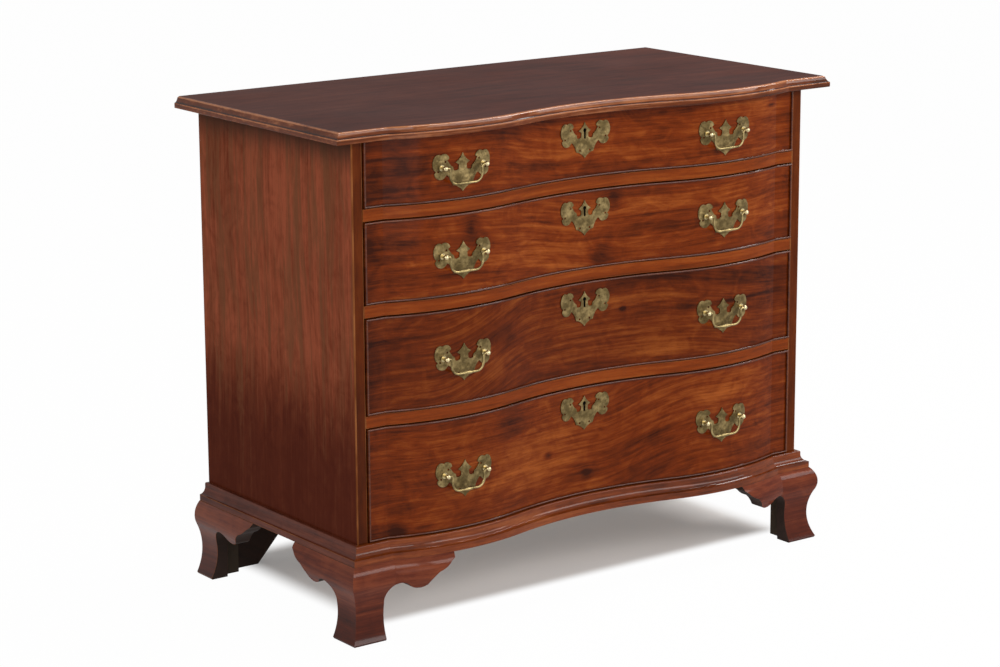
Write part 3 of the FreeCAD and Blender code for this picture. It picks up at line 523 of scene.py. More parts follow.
@dataclass(frozen=True)
class PlainTimber:
    """Unfinished secondary wood, darkened with age and marked by the saw.

    Args:
        name: the material's name.
        grain: the direction of the fibres.
        pale, brown, grime: its colours; where they are near black, they are a painted shade.
        seed: the board's own figure.
        plank: the width of each plank where a piece has several, or zero.
    """

    DRIFT = Layer((1.5, 4.0, 4.0), (True, False, False))
    RING = Layer((0.7, 60.0, 8.0), (False, True, False), 4.0)
    FIBRE = Layer((9.0, 420.0, 90.0))
    DIRT = Layer((6.0, 22.0, 5.0), (True, False, False), 6.0, 0.7)
    SAW = Layer((420.0, 6.0, 6.0), detail=1.0)

    PLANK_SEED = 7.3
    RING_SLANT = 0.6
    RING_DRIFT = 0.03
    RING_SHARES = (0.75, 0.25)
    STOPS = (0.30, 0.62)
    DIRT_STEP = (0.46, 0.80)
    DIRT_SHARE = 0.6
    ROUGHNESS = (0.72, 0.15)
    SHINE = 0.25
    RELIEF_SHARES = (0.7, 0.6)
    RELIEF = 0.18 * MM

    name: str
    grain: Grain
    pale: Colour = (0.42, 0.27, 0.13)
    brown: Colour = (0.24, 0.13, 0.055)
    grime: Colour = (0.10, 0.055, 0.028)
    seed: float = 0.0
    plank: float = 0.0

    def make(self) -> Material:
        """Builds the material."""
        shader = Shader(bpy.data.materials.new(self.name))
        along, across, through = board = place_in_board(shader, self.grain)
        seed = self.seed
        if self.plank:
            number = ((across - FOOT_HEIGHT) / self.plank).floored()
            seed = number * self.PLANK_SEED + seed
        drift = shader.layer(board, self.DRIFT, seed) - MEAN
        ring = across + through * self.RING_SLANT + drift * self.RING_DRIFT
        rings = (along, ring, through)
        band = shader.layer(rings, self.RING, seed)
        fine = shader.layer(rings, self.FIBRE)
        broad, narrow = self.RING_SHARES
        stops = list(zip(self.STOPS, (self.brown, self.pale)))
        colour = shader.ramp(band * broad + fine * narrow, stops)
        dirt = shader.layer(board, self.DIRT, seed).stepped(*self.DIRT_STEP)
        colour = shader.mix(dirt * self.DIRT_SHARE, colour, self.grime)
        sawn = shader.layer(board, self.SAW)
        broad, narrow = self.RELIEF_SHARES
        return shader.surface(
            base_color=colour,
            roughness=fine.ranged(*self.ROUGHNESS),
            specular_IOR_level=self.SHINE,
            normal=shader.bump(sawn * broad + fine * narrow, self.RELIEF),
        )


@dataclass(frozen=True)
class AgedBrass:
    """Cast brass with an old, uneven patina.

    Args:
        name: the material's name.
        clean, patina: the metal's colours.
        rubbed: how much of it is rubbed bright.
        roughness: its lowest roughness.
        wave: the height of its uneven surface, in metres.
    """

    CLOUD = Layer((70.0, 70.0, 70.0), detail=5.0, roughness=0.65)
    SPECK = Layer((420.0, 420.0, 420.0), detail=3.0)
    HAMMERED = Layer((95.0, 95.0, 95.0), detail=1.0)

    BRIGHT_STEP = (0.25, 0.65)
    SPECK_STEP = (0.60, 0.72)
    EDGE_GAIN = 1.2
    SPECK_LOSS = 0.4
    MARK_SHARE = 0.6
    PATINA_ROUGHNESS = 0.2
    SPECK_ROUGHNESS = 0.06
    SPECK_RELIEF = 0.08 * MM
    CLOUD_RELIEF = 0.16 * MM

    name: str
    clean: Colour = (0.33, 0.24, 0.105)
    patina: Colour = (0.105, 0.073, 0.029)
    rubbed: float = 0.4
    roughness: float = 0.32
    wave: float = 0.0

    def make(self) -> Material:
        """Builds the material."""
        shader = Shader(bpy.data.materials.new(self.name))
        place = shader.position()
        cloud = shader.layer(place, self.CLOUD)
        speck = shader.layer(place, self.SPECK)
        hammered = shader.layer(place, self.HAMMERED)
        bright = (cloud - MEAN + self.rubbed).stepped(*self.BRIGHT_STEP)
        colour = shader.mix(bright, self.patina, self.clean)
        edge = tuple(min(1.0, self.EDGE_GAIN * part) for part in self.clean)
        colour = shader.mix(shader.attribute("rubbed") * self.MARK_SHARE, colour, edge)
        spots = speck.stepped(*self.SPECK_STEP) * self.MARK_SHARE
        colour = shader.mix(spots, colour, tuple(self.SPECK_LOSS * part for part in self.patina))
        dull = (1.0 - bright) * self.PATINA_ROUGHNESS
        relief = speck * self.SPECK_RELIEF + cloud * self.CLOUD_RELIEF + hammered * self.wave
        return shader.surface(
            base_color=colour,
            metallic=1.0,
            roughness=self.roughness + dull + speck * self.SPECK_ROUGHNESS,
            normal=shader.bump(relief, 1.0),
        )


@dataclass(frozen=True)
class ForgedIron:
    """Dark forged iron with specks of rust."""

    CLOUD = Layer((90.0, 90.0, 90.0), detail=6.0, roughness=0.7)
    RUST_STEP = (0.5, 0.7)
    METAL_SHARE = 0.75
    ROUGHNESS = (0.42, 0.3)
    RELIEF = 0.2 * MM

    name: str
    dark: Colour = (0.045, 0.042, 0.040)
    rust: Colour = (0.12, 0.055, 0.025)

    def make(self) -> Material:
        """Builds the material."""
        shader = Shader(bpy.data.materials.new(self.name))
        cloud = shader.layer(shader.position(), self.CLOUD)
        return shader.surface(
            base_color=shader.mix(cloud.stepped(*self.RUST_STEP), self.dark, self.rust),
            metallic=self.METAL_SHARE,
            roughness=cloud.ranged(*self.ROUGHNESS),
            normal=shader.bump(cloud, self.RELIEF),
        )


Finish = Mahogany | PlainTimber | AgedBrass | ForgedIron

TOP = Mahogany(
    "top_mahogany", Grain.ALONG_X, dark=(0.026, 0.006, 0.004), middle=(0.060, 0.013, 0.007),
    light=(0.095, 0.024, 0.012), bend=0.012, bands=16.0, contrast=1.0, mottle=0.2, seed=3.0,
    gloss=0.12, sheen=0.24)
# The marks are a painted shade in the groove of the moulding and two painted highlights along its
# rounded arrises.
EDGE = Mahogany(
    "edge_mahogany", Grain.ALONG_X, dark=(0.03, 0.006, 0.001), middle=(0.13, 0.025, 0.002),
    light=(0.40, 0.145, 0.052), bend=0.003, bands=60.0, contrast=1.2, mottle=0.3, seed=5.0,
    gloss=0.42, sheen=0.06, marks=(
        Mark(0.0, 0.8253, 20.0, 0.0010, 0.8), Mark(0.0, 0.8335, 20.0, 0.0010, -1.0),
        Mark(0.0, 0.8234, 20.0, 0.0008, -0.9)))
# The side is painted darker towards the bottom and just below the top: painted shade, and a painted
# shadow of the top's overhang.
SIDE = Mahogany(
    "side_mahogany", Grain.ALONG_Z, dark=(0.048, 0.006, 0.003), middle=(0.150, 0.033, 0.014),
    light=(0.27, 0.068, 0.032), bend=0.035, bands=24.0, contrast=1.15, mottle=0.7, seed=7.0,
    gloss=0.05, sheen=0.3, painted_shade_below=(0.25, 0.47, 0.9), tint=(0.125, 0.052, 0.023),
    shaded=(0.755, 0.812))
STILE = Mahogany(
    "stile_mahogany", Grain.ALONG_Z, dark=(0.03, 0.005, 0.001), middle=(0.10, 0.018, 0.002),
    light=(0.17, 0.038, 0.006), bend=0.003, bands=60.0, contrast=1.2, mottle=0.2, seed=9.0,
    gloss=0.15)
RAIL = Mahogany(
    "rail_mahogany", Grain.ALONG_X, dark=(0.09, 0.016, 0.002), middle=(0.21, 0.037, 0.004),
    light=(0.32, 0.078, 0.011), bend=0.003, bands=60.0, contrast=1.2, mottle=0.2, seed=11.0)
BASE = Mahogany(
    "base_mahogany", Grain.ALONG_X, dark=(0.035, 0.007, 0.002), middle=(0.175, 0.034, 0.006),
    light=(0.30, 0.080, 0.018), bend=0.004, bands=50.0, contrast=1.2, mottle=0.4, seed=17.0,
    gloss=0.40, sheen=0.09)
SIDE_BASE = Mahogany(
    "side_base_mahogany", Grain.ALONG_Y, dark=(0.032, 0.008, 0.005), middle=(0.105, 0.026, 0.014),
    light=(0.19, 0.052, 0.026), bend=0.004, bands=50.0, contrast=1.2, mottle=0.4, seed=19.0,
    gloss=0.3, sheen=0.2)
# The foot is painted darker towards the floor, a painted shade.
FOOT = Mahogany(
    "foot_mahogany", Grain.ROUND_FOOT, dark=(0.028, 0.006, 0.003), middle=(0.102, 0.017, 0.006),
    light=(0.20, 0.044, 0.015), bend=0.008, bands=40.0, contrast=1.0, mottle=0.5, seed=23.0,
    gloss=0.3, painted_shade_below=(0.0, 0.10, 0.5))
BACK_FOOT = replace(FOOT, name="back_foot_mahogany", rough_within=0.4661, gloss=0.45)
BEAD = Mahogany(
    "bead_mahogany", Grain.ALONG_X, dark=(0.03, 0.006, 0.001), middle=(0.09, 0.017, 0.003),
    light=(0.16, 0.038, 0.007), bend=0.002, bands=80.0, mottle=0.2, seed=29.0, gloss=0.7,
    sheen=0.07)

BACK_PINE = PlainTimber(
    "back_pine", Grain.ALONG_X, pale=(0.33, 0.19, 0.095), brown=(0.19, 0.10, 0.048), seed=2.0,
    plank=PLANK)
BOTTOM_PINE = PlainTimber("bottom_pine", Grain.ALONG_X, seed=3.0)
RUNNER_PINE = PlainTimber("runner_pine", Grain.ALONG_Y, seed=5.0)
# The glue blocks are near black: a painted shade inside the feet.
SHADED_BLOCK_PINE = PlainTimber(
    "shaded_block_pine", Grain.ALONG_Z, pale=(0.05, 0.035, 0.022), brown=(0.03, 0.02, 0.013),
    grime=(0.012, 0.009, 0.007), seed=8.0)
# The sawn edges of the feet are near black: a painted shade.
SHADED_SAWN_MAHOGANY = PlainTimber(
    "shaded_sawn_mahogany", Grain.ROUND_FOOT, pale=(0.030, 0.014, 0.009), brown=(0.018, 0.009, 0.006),
    grime=(0.008, 0.005, 0.004), seed=4.0)
# The keyhole's walls are near black: a painted shade in the hole.
KEYHOLE_SHADE = PlainTimber("keyhole_painted_shade", Grain.ALONG_Y, *[(0.004, 0.003, 0.002)] * 3)
SIDE_POPLAR = PlainTimber("drawer_side_poplar", Grain.ALONG_Y, seed=12.0)
BACK_POPLAR = PlainTimber("drawer_back_poplar", Grain.ALONG_X, seed=14.0)

PLATE_BRASS = AgedBrass("plate_brass", rubbed=0.37, wave=2.0 * MM)
BAIL_BRASS = AgedBrass("bail_brass", clean=(0.38, 0.29, 0.13), rubbed=0.5, roughness=0.26)
POST_BRASS = AgedBrass("post_brass", clean=(0.58, 0.48, 0.27), rubbed=0.8, roughness=0.26)
LOCK_IRON = ForgedIron("lock_iron")
NAIL_IRON = ForgedIron("nail_iron")


@cache
def material_of(finish: Finish) -> Material:
    """A finish's material, made once."""
    return finish.make()


def paint(piece: Piece, finish: Finish, other: Finish | None = None,
          where: Choice | None = None) -> Piece:
    """Gives a piece its finish.

    Args:
        piece: the piece.
        finish: the finish of its faces.
        other: a second finish.
        where: tells from a face's centre and normal whether it takes the second finish.
    """
    mesh = piece.data
    mesh.materials.clear()
    mesh.materials.append(material_of(finish))
    if other is not None:
        mesh.materials.append(material_of(other))
        for face in mesh.polygons:
            face.material_index = int(where(face.center, face.normal))
    return piece


def is_crease(edge: BMEdge, turn: float = CREASE_ANGLE) -> bool:
    """Whether the upright faces beside an edge turn by more than an angle."""
    sides = [face.normal.xy for face in edge.link_faces]
    return all(side.length > UPRIGHT_SHARE for side in sides) and sides[0].angle(sides[1]) > turn


def ease(work: Mesh, edges: list[BMEdge], width: float,
         segments: int = EASED_SEGMENTS) -> list[BMFace]:
    """Eases edges, as hand planes and years leave them, and gives the new faces.

    Args:
        work: the mesh.
        edges: its edges to ease.
        width: how wide the eased edge is, in metres.
        segments: the faces across the eased edge.
    """
    made = bmesh.ops.bevel(
        work, geom=edges, offset=width, offset_type="OFFSET", affect="EDGES", segments=segments,
        profile=0.5, material=-1, clamp_overlap=True)
    return made["faces"]


def piece_of(work: Mesh, name: str) -> Piece:
    """Makes a mesh a piece in the scene, and frees the mesh."""
    mesh = bpy.data.meshes.new(name)
    work.to_mesh(mesh)
    work.free()
    piece = bpy.data.objects.new(name, mesh)
    bpy.context.scene.collection.objects.link(piece)
    return piece


def eased(node: str, body: str, width: float) -> Piece:
    """A copy of a CAD piece with its sharp edges eased.

    Args:
        node: the CAD node that the copy stands for.
        body: the body that carries it.
        width: how wide the eased edges are, in metres.
    """
    work = bmesh.new()
    work.from_mesh(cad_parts[node].data)
    bmesh.ops.remove_doubles(work, verts=work.verts, dist=MERGE_DISTANCE)
    bmesh.ops.dissolve_limit(
        work, angle_limit=FLAT_ANGLE, use_dissolve_boundaries=False, verts=work.verts,
        edges=work.edges)
    rubbed = work.faces.layers.float.new("rubbed")
    sharp = [
        edge for edge in work.edges if edge.is_manifold and edge.calc_face_angle() > EDGE_ANGLE
    ]
    for face in ease(work, sharp, width):
        face[rubbed] = 1.0
    return finished(work, node, body, EDGE_ANGLE)


def finished(work: Mesh, node: str, body: str, corner: float) -> Piece:
    """Makes a mesh a piece that stands for a CAD node.

    Args:
        work: the mesh, which is freed.
        node: the CAD node that it stands for.
        body: the body that carries it.
        corner: the smallest angle between faces that is shaded as an edge.
    """
    for face in work.faces:
        face.smooth = True
    for edge in work.edges:
        soft = edge.is_manifold and edge.calc_face_angle() < corner
        edge.smooth = soft and not is_crease(edge)
    piece = piece_of(work, node + "_dressed")
    level = piece.modifiers.new("level", "WEIGHTED_NORMAL")
    level.keep_sharp = True
    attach(piece, body)
    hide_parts(node)
    return piece


@dataclass
class TopBoard:
    """The top, whose moulded edge follows the oxbow front and both ends.

    Args:
        end, front, back: how far its widest outline reaches to each end, to the flat strips of
            the front and to the back edge.
        spare: the length behind the back edge that is sawn off.
        lobe_at, lobe_radius: the centre and the radius of the right swell.
        hollow_at, turn: where the hollow's centre is on the middle line, and half its angle.
        nose_foot, nose_round: the radii below and above the nosing.
        slope, edge_round: the reach, rise and radius of the hollow above the nosing and of the
            rounded upper edge.
        mitre, corner: the smallest angles that count as a mitre and as a shaded edge.
        flat_within: how far below the highest point a face still belongs to the flat top.
    """

    end: float = 513.0 * MM
    front: float = -235.25 * MM
    back: float = 259.25 * MM
    spare: float = 60.0 * MM
    underside: float = 815.5 * MM
    lobe_at: Pair = (275.01 * MM, 170.21375 * MM)
    lobe_radius: float = 429.46375 * MM
    hollow_at: float = -833.320035 * MM
    turn: float = math.radians(15.3254)
    nose_foot: float = 1.5 * MM
    nose_height: float = 6.0 * MM
    nose_round: float = 2.0 * MM
    slope: Triple = (4.0 * MM, 7.5 * MM, 14.0 * MM)
    edge_round: Triple = (4.9 * MM, 2.5 * MM, 7.0 * MM)
    arris: float = 0.7 * MM
    arc_steps: int = 28
    mould_steps: int = 6
    mitre: float = math.radians(60.0)
    corner: float = math.radians(27.0)
    flat_within: float = 0.1 * MM

    def build(self) -> list[Piece]:
        """Moulds and dresses the top."""
        work = bmesh.new()
        self.draw_plan(work)
        under = bmesh.ops.edgeloop_fill(work, edges=work.edges)["faces"][0]
        if under.normal.z > 0.0:
            under.normal_flip()
        grown = bmesh.ops.extrude_face_region(work, geom=[under])["geom"]
        upper = next(item for item in grown if isinstance(item, BMFace))
        bmesh.ops.translate(work, verts=upper.verts, vec=(0.0, 0.0, self.nose_height))
        bmesh.ops.recalc_face_normals(work, faces=work.faces)
        self.mould(work, under, self.nose_foot, self.nose_foot, self.nose_foot)
        self.mould(work, upper, self.nose_round, self.nose_round, self.nose_round)
        self.mould(work, upper, *self.slope, hollow=True)
        self.mould(work, upper, *self.edge_round)
        everything = [*work.verts, *work.edges, *work.faces]
        bmesh.ops.bisect_plane(
            work, geom=everything, dist=CUT_DISTANCE, plane_co=(0.0, self.back, 0.0),
            plane_no=(0.0, 1.0, 0.0), clear_outer=True)
        bmesh.ops.edgeloop_fill(work, edges=[edge for edge in work.edges if edge.is_boundary])
        bmesh.ops.recalc_face_normals(work, faces=work.faces)
        mitres = [
            edge for edge in work.edges
            if is_crease(edge, self.mitre) and edge.verts[0].co.y < 0.0
        ]
        ease(work, mitres, self.arris)
        piece = finished(work, "top_board", "case", self.corner)
        return [paint(piece, TOP, EDGE, self.is_moulded)]

    def is_moulded(self, centre: Vector, normal: Vector) -> bool:
        """Whether a face lies below the flat of the top."""
        return centre.z < CAD_BOX[1][2] - self.flat_within

    def draw_plan(self, work: Mesh) -> None:
        """Draws the widest outline of the top, from one end round the front to the other."""
        x, y = self.lobe_at
        past = math.acos((y - self.front) / self.lobe_radius)
        strip = self.end - x - self.lobe_radius * math.sin(past)
        depth = self.back + self.spare - self.front
        start = (-self.end, self.front + depth, self.underside + self.nose_foot)
        first = work.verts.new(start)
        tip = self.run_on(work, first, (0.0, -depth, 0.0))
        tip = self.run_on(work, tip, (strip, 0.0, 0.0))
        tip = self.sweep_on(work, tip, (-x, y, 0.0), past + self.turn)
        tip = self.sweep_on(work, tip, (0.0, self.hollow_at, 0.0), -2.0 * self.turn)
        tip = self.sweep_on(work, tip, (x, y, 0.0), past + self.turn)
        tip = self.run_on(work, tip, (strip, 0.0, 0.0))
        tip = self.run_on(work, tip, (0.0, depth, 0.0))
        work.edges.new((tip, first))

    @staticmethod
    def run_on(work: Mesh, tip: BMVert, step: Place) -> BMVert:
        """Draws a straight side on from a point, and gives its other end."""
        new = bmesh.ops.extrude_vert_indiv(work, verts=[tip])["verts"]
        bmesh.ops.translate(work, verts=new, vec=step)
        return new[0]

    def sweep_on(self, work: Mesh, tip: BMVert, centre: Place, angle: float) -> BMVert:
        """Draws an arc about an upright axis on from a point, and gives its other end."""
        drawn = bmesh.ops.spin(
            work, geom=[tip], cent=centre, axis=(0.0, 0.0, 1.0), angle=angle,
            steps=self.arc_steps)
        return next(item for item in drawn["geom_last"] if isinstance(item, BMVert))

    def mould(self, work: Mesh, face: BMFace, reach: float, rise: float, radius: float,
              hollow: bool = False) -> None:
        """Steps a face inwards and outwards along an arc of the moulding.

        Args:
            work: the mesh.
            face: the flat face within the moulding.
            reach: how far the arc goes in from the edge.
            rise: how far it stands up.
            radius: its radius.
            hollow: whether it is a hollow and not a round.
        """
        steps = self.mould_steps
        half = math.asin(math.hypot(reach, rise) / (2.0 * radius))
        chord = math.atan2(rise, reach)
        length = 2.0 * radius * math.sin(half / steps)
        for step in range(steps):
            bend = half * (1.0 - (2.0 * step + 1.0) / steps)
            slant = chord - bend if hollow else chord + bend
            bmesh.ops.inset_region(
                work, faces=[face], thickness=length * math.cos(slant),
                depth=length * math.sin(slant), use_even_offset=True, use_boundary=True)


@dataclass
class Case:
    """The case below the top: sides, dividers, base, back, bottom and runners.

    Args:
        front_turn: how far a side panel's face looks forwards where it is the stile's.
        nail_shares: where the nails are, as shares of a back board's width.
        nail_tip_share, nail_lift_share: the narrow end of a nail's head and how far its middle
            stands out, as shares of its foot and of its height.
    """

    body: str = "case"
    arris: float = 0.7 * MM
    corner_arris: float = 2.0 * MM
    board_arris: float = 1.6 * MM
    front_turn: float = 0.3
    back_boards: int = 3
    nail_shares: Pair = (0.25, 0.75)
    nail_inset: float = 6.0 * MM
    nail_radius: float = 4.0 * MM
    nail_sides: int = 8
    nail_height: float = 1.8 * MM
    nail_arris: float = 0.25 * MM
    nail_tip_share: float = 0.35
    nail_lift_share: float = 0.4

    def build(self) -> list[Piece]:
        """Dresses the case."""
        pieces = []
        for side in ("left", "right"):
            panel = eased(side + "_side_panel", self.body, self.corner_arris)
            pieces.append(paint(panel, SIDE, STILE, self.is_stile))
        dividers = eased("drawer_dividers", self.body, self.arris)
        pieces.append(paint(dividers, RAIL))
        for side, finish in (("front", BASE), ("left", SIDE_BASE), ("right", SIDE_BASE)):
            moulding = eased(side + "_base_moulding", self.body, self.arris)
            pieces.append(paint(moulding, finish))
        boards = eased("back_boards", self.body, self.board_arris)
        pieces.append(paint(boards, BACK_PINE))
        for node, finish in (("case_bottom", BOTTOM_PINE), ("drawer_runners", RUNNER_PINE)):
            pieces.append(paint(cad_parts[node], finish))
        pieces.append(paint(self.nails(), NAIL_IRON))
        return pieces

    def is_stile(self, centre: Vector, normal: Vector) -> bool:
        """Whether a side panel's face is its front edge."""
        return normal.y < -self.front_turn

    def nails(self) -> Piece:
        """Drives wrought nails through the ends of the back boards, as one piece."""
        low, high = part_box("back_boards")
        work = bmesh.new()
        step = (high[2] - low[2]) / self.back_boards
        depth = high[1] + self.nail_lift_share * self.nail_height
        upright = Matrix.Rotation(math.radians(-90.0), 4, "X")
        for number in range(self.back_boards):
            for share in self.nail_shares:
                height = low[2] + step * (number + share)
                for side in (low[0] + self.nail_inset, high[0] - self.nail_inset):
                    bmesh.ops.create_cone(
                        work, cap_ends=True, segments=self.nail_sides, radius1=self.nail_radius,
                        radius2=self.nail_tip_share * self.nail_radius, depth=self.nail_height,
                        matrix=Matrix.Translation((side, depth, height)) @ upright)
        ease(work, work.edges[:], self.nail_arris, segments=1)
        piece = piece_of(work, "back_nails")
        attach(piece, self.body)
        return piece


@dataclass
class Feet:
    """The ogee bracket feet and their glue blocks."""

    body: str = "case"
    arris: float = 1.0 * MM
    sawn_turn: float = 0.3

    def build(self) -> list[Piece]:
        """Dresses the feet."""
        pieces = []
        for end, finish in (("front", FOOT), ("back", BACK_FOOT)):
            for side in ("left", "right"):
                foot = eased(f"{end}_{side}_foot", self.body, self.arris)
                pieces.append(paint(foot, finish, SHADED_SAWN_MAHOGANY, self.is_sawn))
        pieces.append(paint(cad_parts["foot_glue_blocks"], SHADED_BLOCK_PINE))
        return pieces

    def is_sawn(self, centre: Vector, normal: Vector) -> bool:
        """Whether a face is a bracket's sawn edge and not its moulded face."""
        beside = abs(centre.x) + centre.y > FOOT_MITRE
        return abs(normal.x if beside else normal.y) < self.sawn_turn


@dataclass
class Drawer:
    """One drawer with its brasses.

    Args:
        number: the drawer, counted from the top.
        finish: the finish of its front.
        keyhole_drops: how far below the front's top edge the keyhole ends and starts.
    """

    PLAIN_PIECES = {
        "cock_beads": BEAD,
        "left_side": SIDE_POPLAR,
        "right_side": SIDE_POPLAR,
        "back": BACK_POPLAR,
        "bottom": BACK_POPLAR,
        "bail_posts": POST_BRASS,
        "left_bail": BAIL_BRASS,
        "right_bail": BAIL_BRASS,
        "lock": LOCK_IRON,
    }

    number: int
    finish: Mahogany
    arris: float = 0.4 * MM
    plate_arris: float = 0.45 * MM
    keyhole_reach: float = 8.0 * MM
    keyhole_drops: Pair = (42.5 * MM, 24.0 * MM)
    keyhole_turn: float = 0.7

    @property
    def name(self) -> str:
        """The drawer's body."""
        return f"drawer_{self.number}"

    def build(self) -> list[Piece]:
        """Dresses the drawer."""
        name = self.name
        board = eased(name + "_front", name, self.arris)
        plates = eased(name + "_brass_plates", name, self.plate_arris)
        pieces = [
            paint(board, self.finish, KEYHOLE_SHADE, self.in_keyhole),
            paint(plates, PLATE_BRASS),
        ]
        for part, finish in self.PLAIN_PIECES.items():
            pieces.append(paint(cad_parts[f"{name}_{part}"], finish))
        return pieces

    def in_keyhole(self, centre: Vector, normal: Vector) -> bool:
        """Whether a face of the front lies within its keyhole."""
        top = max(corner[2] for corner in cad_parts[self.name + "_front"].bound_box)
        low, high = (top - drop for drop in self.keyhole_drops)
        within = abs(centre.x) < self.keyhole_reach and low < centre.z < high
        return within and abs(normal.y) < self.keyhole_turn


@dataclass(frozen=True)
class Softbox:
    """A soft light that faces the chest: its place, its width and height, and its watts."""

    AIM = (0.0, 0.0, 0.4)

    name: str
    place: Place
    size: Pair
    watts: float

    def hang(self) -> Piece:
        """Hangs the light."""
        data = bpy.data.lights.new(self.name, "AREA")
        data.shape = "RECTANGLE"
        data.size, data.size_y = self.size
        data.energy = self.watts
        item = bpy.data.objects.new(self.name, data)
        item.location = self.place
        way = Vector(self.AIM) - Vector(self.place)
        item.rotation_euler = way.to_track_quat("-Z", "Y").to_euler()
        bpy.context.scene.collection.objects.link(item)
        return item


@dataclass
class Studio:
    """The camera, the lights and the pale floor.

    Args:
        shadow: the distances to the left, right, front and back between which the floor's
            shadow fades.
        shadow_glow, paper_glow: how white the camera sees the floor in the shadow and beyond it.
        ambient: the strength of the room's even light.
    """

    camera_at: Place = (-2.8909, -3.88175, 1.5339)
    camera_aim: Place = (-0.01346, 0.02352, 0.40118)
    roll: float = math.radians(-0.28)
    lens: float = 103.07
    sensor: float = 36.0
    far: float = 60.0
    lights: tuple[Softbox, ...] = (
        Softbox("key", (1.85, -2.75, 1.9), (3.0, 1.0), 60.0),
        Softbox("front", (-0.6, -3.6, 2.4), (1.6, 1.0), 30.0),
        Softbox("fill", (-2.8, -0.4, 1.3), (1.2, 1.2), 24.0),
        Softbox("overhead", (1.7, -0.1, 3.0), (0.45, 2.4), 62.0),
        Softbox("reflector", (-0.17, -3.4, 0.45), (1.05, 0.9), 2.6),
    )
    floor_half: float = 14.0
    paper: Colour = (0.8, 0.76, 0.73)
    shadow: tuple[Pair, ...] = (
        (0.37, 0.43), (0.44, 0.50), (0.135, 0.175), (0.27, 0.33))
    shadow_glow: float = 0.17
    paper_glow: float = 0.985
    ambient: float = 0.3

    def build(self) -> list[Piece]:
        """Sets up the camera, the floor and the lights."""
        items = [self.camera(), self.floor()]
        self.light_room()
        items += [light.hang() for light in self.lights]
        bpy.context.scene.view_settings.view_transform = "Standard"
        return items

    def camera(self) -> Piece:
        """Places the camera where the picture was taken."""
        place = Vector(self.camera_at)
        forward = (Vector(self.camera_aim) - place).normalized()
        level = forward.cross(Vector((0.0, 0.0, 1.0))).normalized()
        upright = level.cross(forward)
        right = level * math.cos(self.roll) + upright * math.sin(self.roll)
        up = right.cross(forward)
        turn = Matrix((right, up, -forward)).transposed().to_4x4()
        data = bpy.data.cameras.new("camera")
        data.lens = self.lens
        data.sensor_width = self.sensor
        data.clip_end = self.far
        item = bpy.data.objects.new("camera", data)
        item.matrix_world = Matrix.Translation(place) @ turn
        bpy.context.scene.collection.objects.link(item)
        bpy.context.scene.camera = item
        return item

    def floor(self) -> Piece:
        """Lays the pale floor, which the camera sees nearly white beyond the shadow."""
        work = bmesh.new()
        bmesh.ops.create_grid(work, x_segments=1, y_segments=1, size=self.floor_half)
        item = piece_of(work, "floor")
        shader = Shader(bpy.data.materials.new("pale_floor"))
        x, y, _ = shader.position()
        paper = shader.node("ShaderNodeBsdfDiffuse", inputs={"Color": (*self.paper, 1.0)})
        glow = shader.node("ShaderNodeEmission", inputs={"Color": WHITE, "Strength": 1.0})
        shadow = 1.0
        for side, fade in zip((0.0 - x, x, 0.0 - y, y), self.shadow):
            shadow = shadow * (1.0 - side.stepped(*fade))
        seen = (1.0 - shadow).ranged(self.shadow_glow, self.paper_glow - self.shadow_glow)
        inputs = {0: shader.in_view() * seen, 1: paper, 2: glow}
        material = shader.closed(shader.node("ShaderNodeMixShader", inputs=inputs))
        item.data.materials.append(material)
        return item

    def light_room(self) -> None:
        """Makes the room white for the camera, with an even, low light for the rest."""
        shader = Shader(bpy.data.worlds.new("studio"))
        strength = self.ambient + shader.in_view() * (1.0 - self.ambient)
        inputs = {"Color": WHITE, "Strength": strength}
        bpy.context.scene.world = shader.closed(shader.node("ShaderNodeBackground", inputs=inputs))


def drawer_front(number: int, depth: float, seed: float, sweeps: tuple[Sweep, ...],
                 *marks: Mark) -> Mahogany:
    """The finish of one drawer front, whose depth is its share of the common colours."""
    plain = Mahogany(f"front_{number}_mahogany", Grain.ALONG_X)
    colours = {
        name: tuple(depth * part for part in getattr(plain, name))
        for name in ("dark", "middle", "light")
    }
    return replace(plain, seed=seed, sweeps=sweeps, marks=marks, **colours)
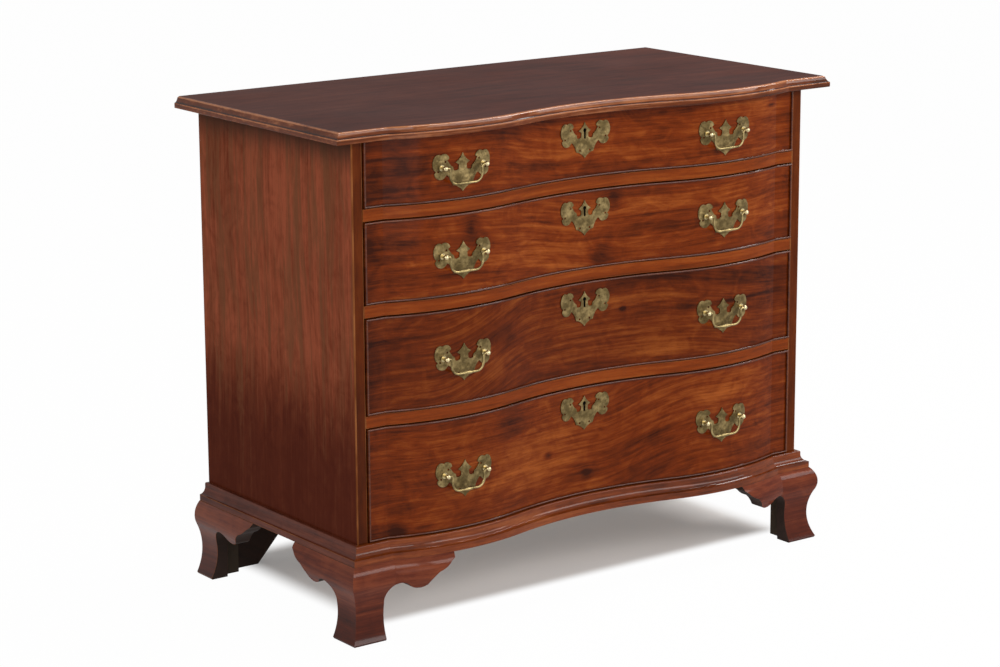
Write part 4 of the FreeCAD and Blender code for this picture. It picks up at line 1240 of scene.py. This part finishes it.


# The first two marks of each front darken its two ends: a painted shade on the flat block ends.
DRAWER_FINISHES = (
    drawer_front(
        1, 1.12, 31.0, (Sweep(-0.24, -0.02, -0.03),),
        Mark(-0.447, 0.76, 0.025, 0.20, 0.6), Mark(0.447, 0.76, 0.02, 0.20, 0.3),
        Mark(-0.38, 0.775, 0.06, 0.06, 0.7), Mark(-0.08, 0.735, 0.16, 0.008, 0.4),
        Mark(0.15, 0.797, 0.09, 0.014, 0.6), Mark(-0.19, 0.80, 0.10, 0.012, 0.5),
        Mark(-0.02, 0.765, 0.12, 0.03, -0.25), Mark(0.36, 0.77, 0.06, 0.04, -0.2),
        Mark(0.395, 0.793, 0.012, 0.003, 1.0, True)),
    drawer_front(
        2, 1.08, 41.0, (Sweep(-0.3, 0.1, -0.035),),
        Mark(-0.447, 0.62, 0.025, 0.20, 0.5), Mark(0.447, 0.62, 0.02, 0.20, 0.3),
        Mark(-0.257, 0.656, 0.016, 0.02, 0.9, True), Mark(0.06, 0.663, 0.014, 0.018, 0.9, True),
        Mark(0.035, 0.572, 0.025, 0.022, 0.7, True), Mark(0.15, 0.612, 0.07, 0.014, 0.5),
        Mark(-0.06, 0.60, 0.16, 0.05, -0.35), Mark(-0.40, 0.62, 0.05, 0.06, 0.35),
        Mark(0.33, 0.60, 0.05, 0.05, -0.1)),
    drawer_front(
        3, 0.82, 53.0, (Sweep(-0.34, -0.1, 0.07), Sweep(0.12, 0.44, -0.035)),
        Mark(-0.447, 0.45, 0.025, 0.20, 0.5), Mark(0.40, 0.45, 0.08, 0.20, 0.2),
        Mark(0.13, 0.521, 0.10, 0.012, 0.6), Mark(0.34, 0.464, 0.13, 0.004, 0.9),
        Mark(0.079, 0.473, 0.006, 0.004, 1.4, True), Mark(0.14, 0.40, 0.05, 0.02, -0.4),
        Mark(-0.19, 0.465, 0.06, 0.018, 0.4), Mark(-0.40, 0.49, 0.05, 0.05, 0.2),
        Mark(0.07, 0.487, 0.10, 0.008, -0.45), Mark(0.28, 0.50, 0.1, 0.02, 0.35)),
    drawer_front(
        4, 0.98, 67.0, (Sweep(0.02, 0.24, 0.05),),
        Mark(-0.447, 0.25, 0.02, 0.20, 0.2), Mark(0.40, 0.25, 0.08, 0.20, 0.2),
        Mark(-0.17, 0.315, 0.045, 0.028, 0.7), Mark(-0.383, 0.207, 0.04, 0.012, 0.7, True),
        Mark(-0.397, 0.170, 0.015, 0.015, 0.8, True), Mark(-0.11, 0.25, 0.10, 0.05, -0.45),
        Mark(0.005, 0.197, 0.012, 0.010, 0.8, True), Mark(-0.08, 0.243, 0.008, 0.006, 0.8, True),
        Mark(0.12, 0.22, 0.08, 0.06, 0.35), Mark(0.27, 0.31, 0.07, 0.02, -0.4),
        Mark(-0.40, 0.27, 0.05, 0.05, 0.2)),
)


def main() -> None:
    """Builds the chest and its studio."""
    logging.basicConfig(level=logging.INFO, format="%(name)s: %(message)s")
    drawers = [Drawer(number, finish) for number, finish in enumerate(DRAWER_FINISHES, start=1)]
    for assembly in (Studio(), TopBoard(), Case(), Feet(), *drawers):
        for piece in assembly.build():
            LOG.info("%s is ready", piece.name)


if __name__ == "__main__":
    main()
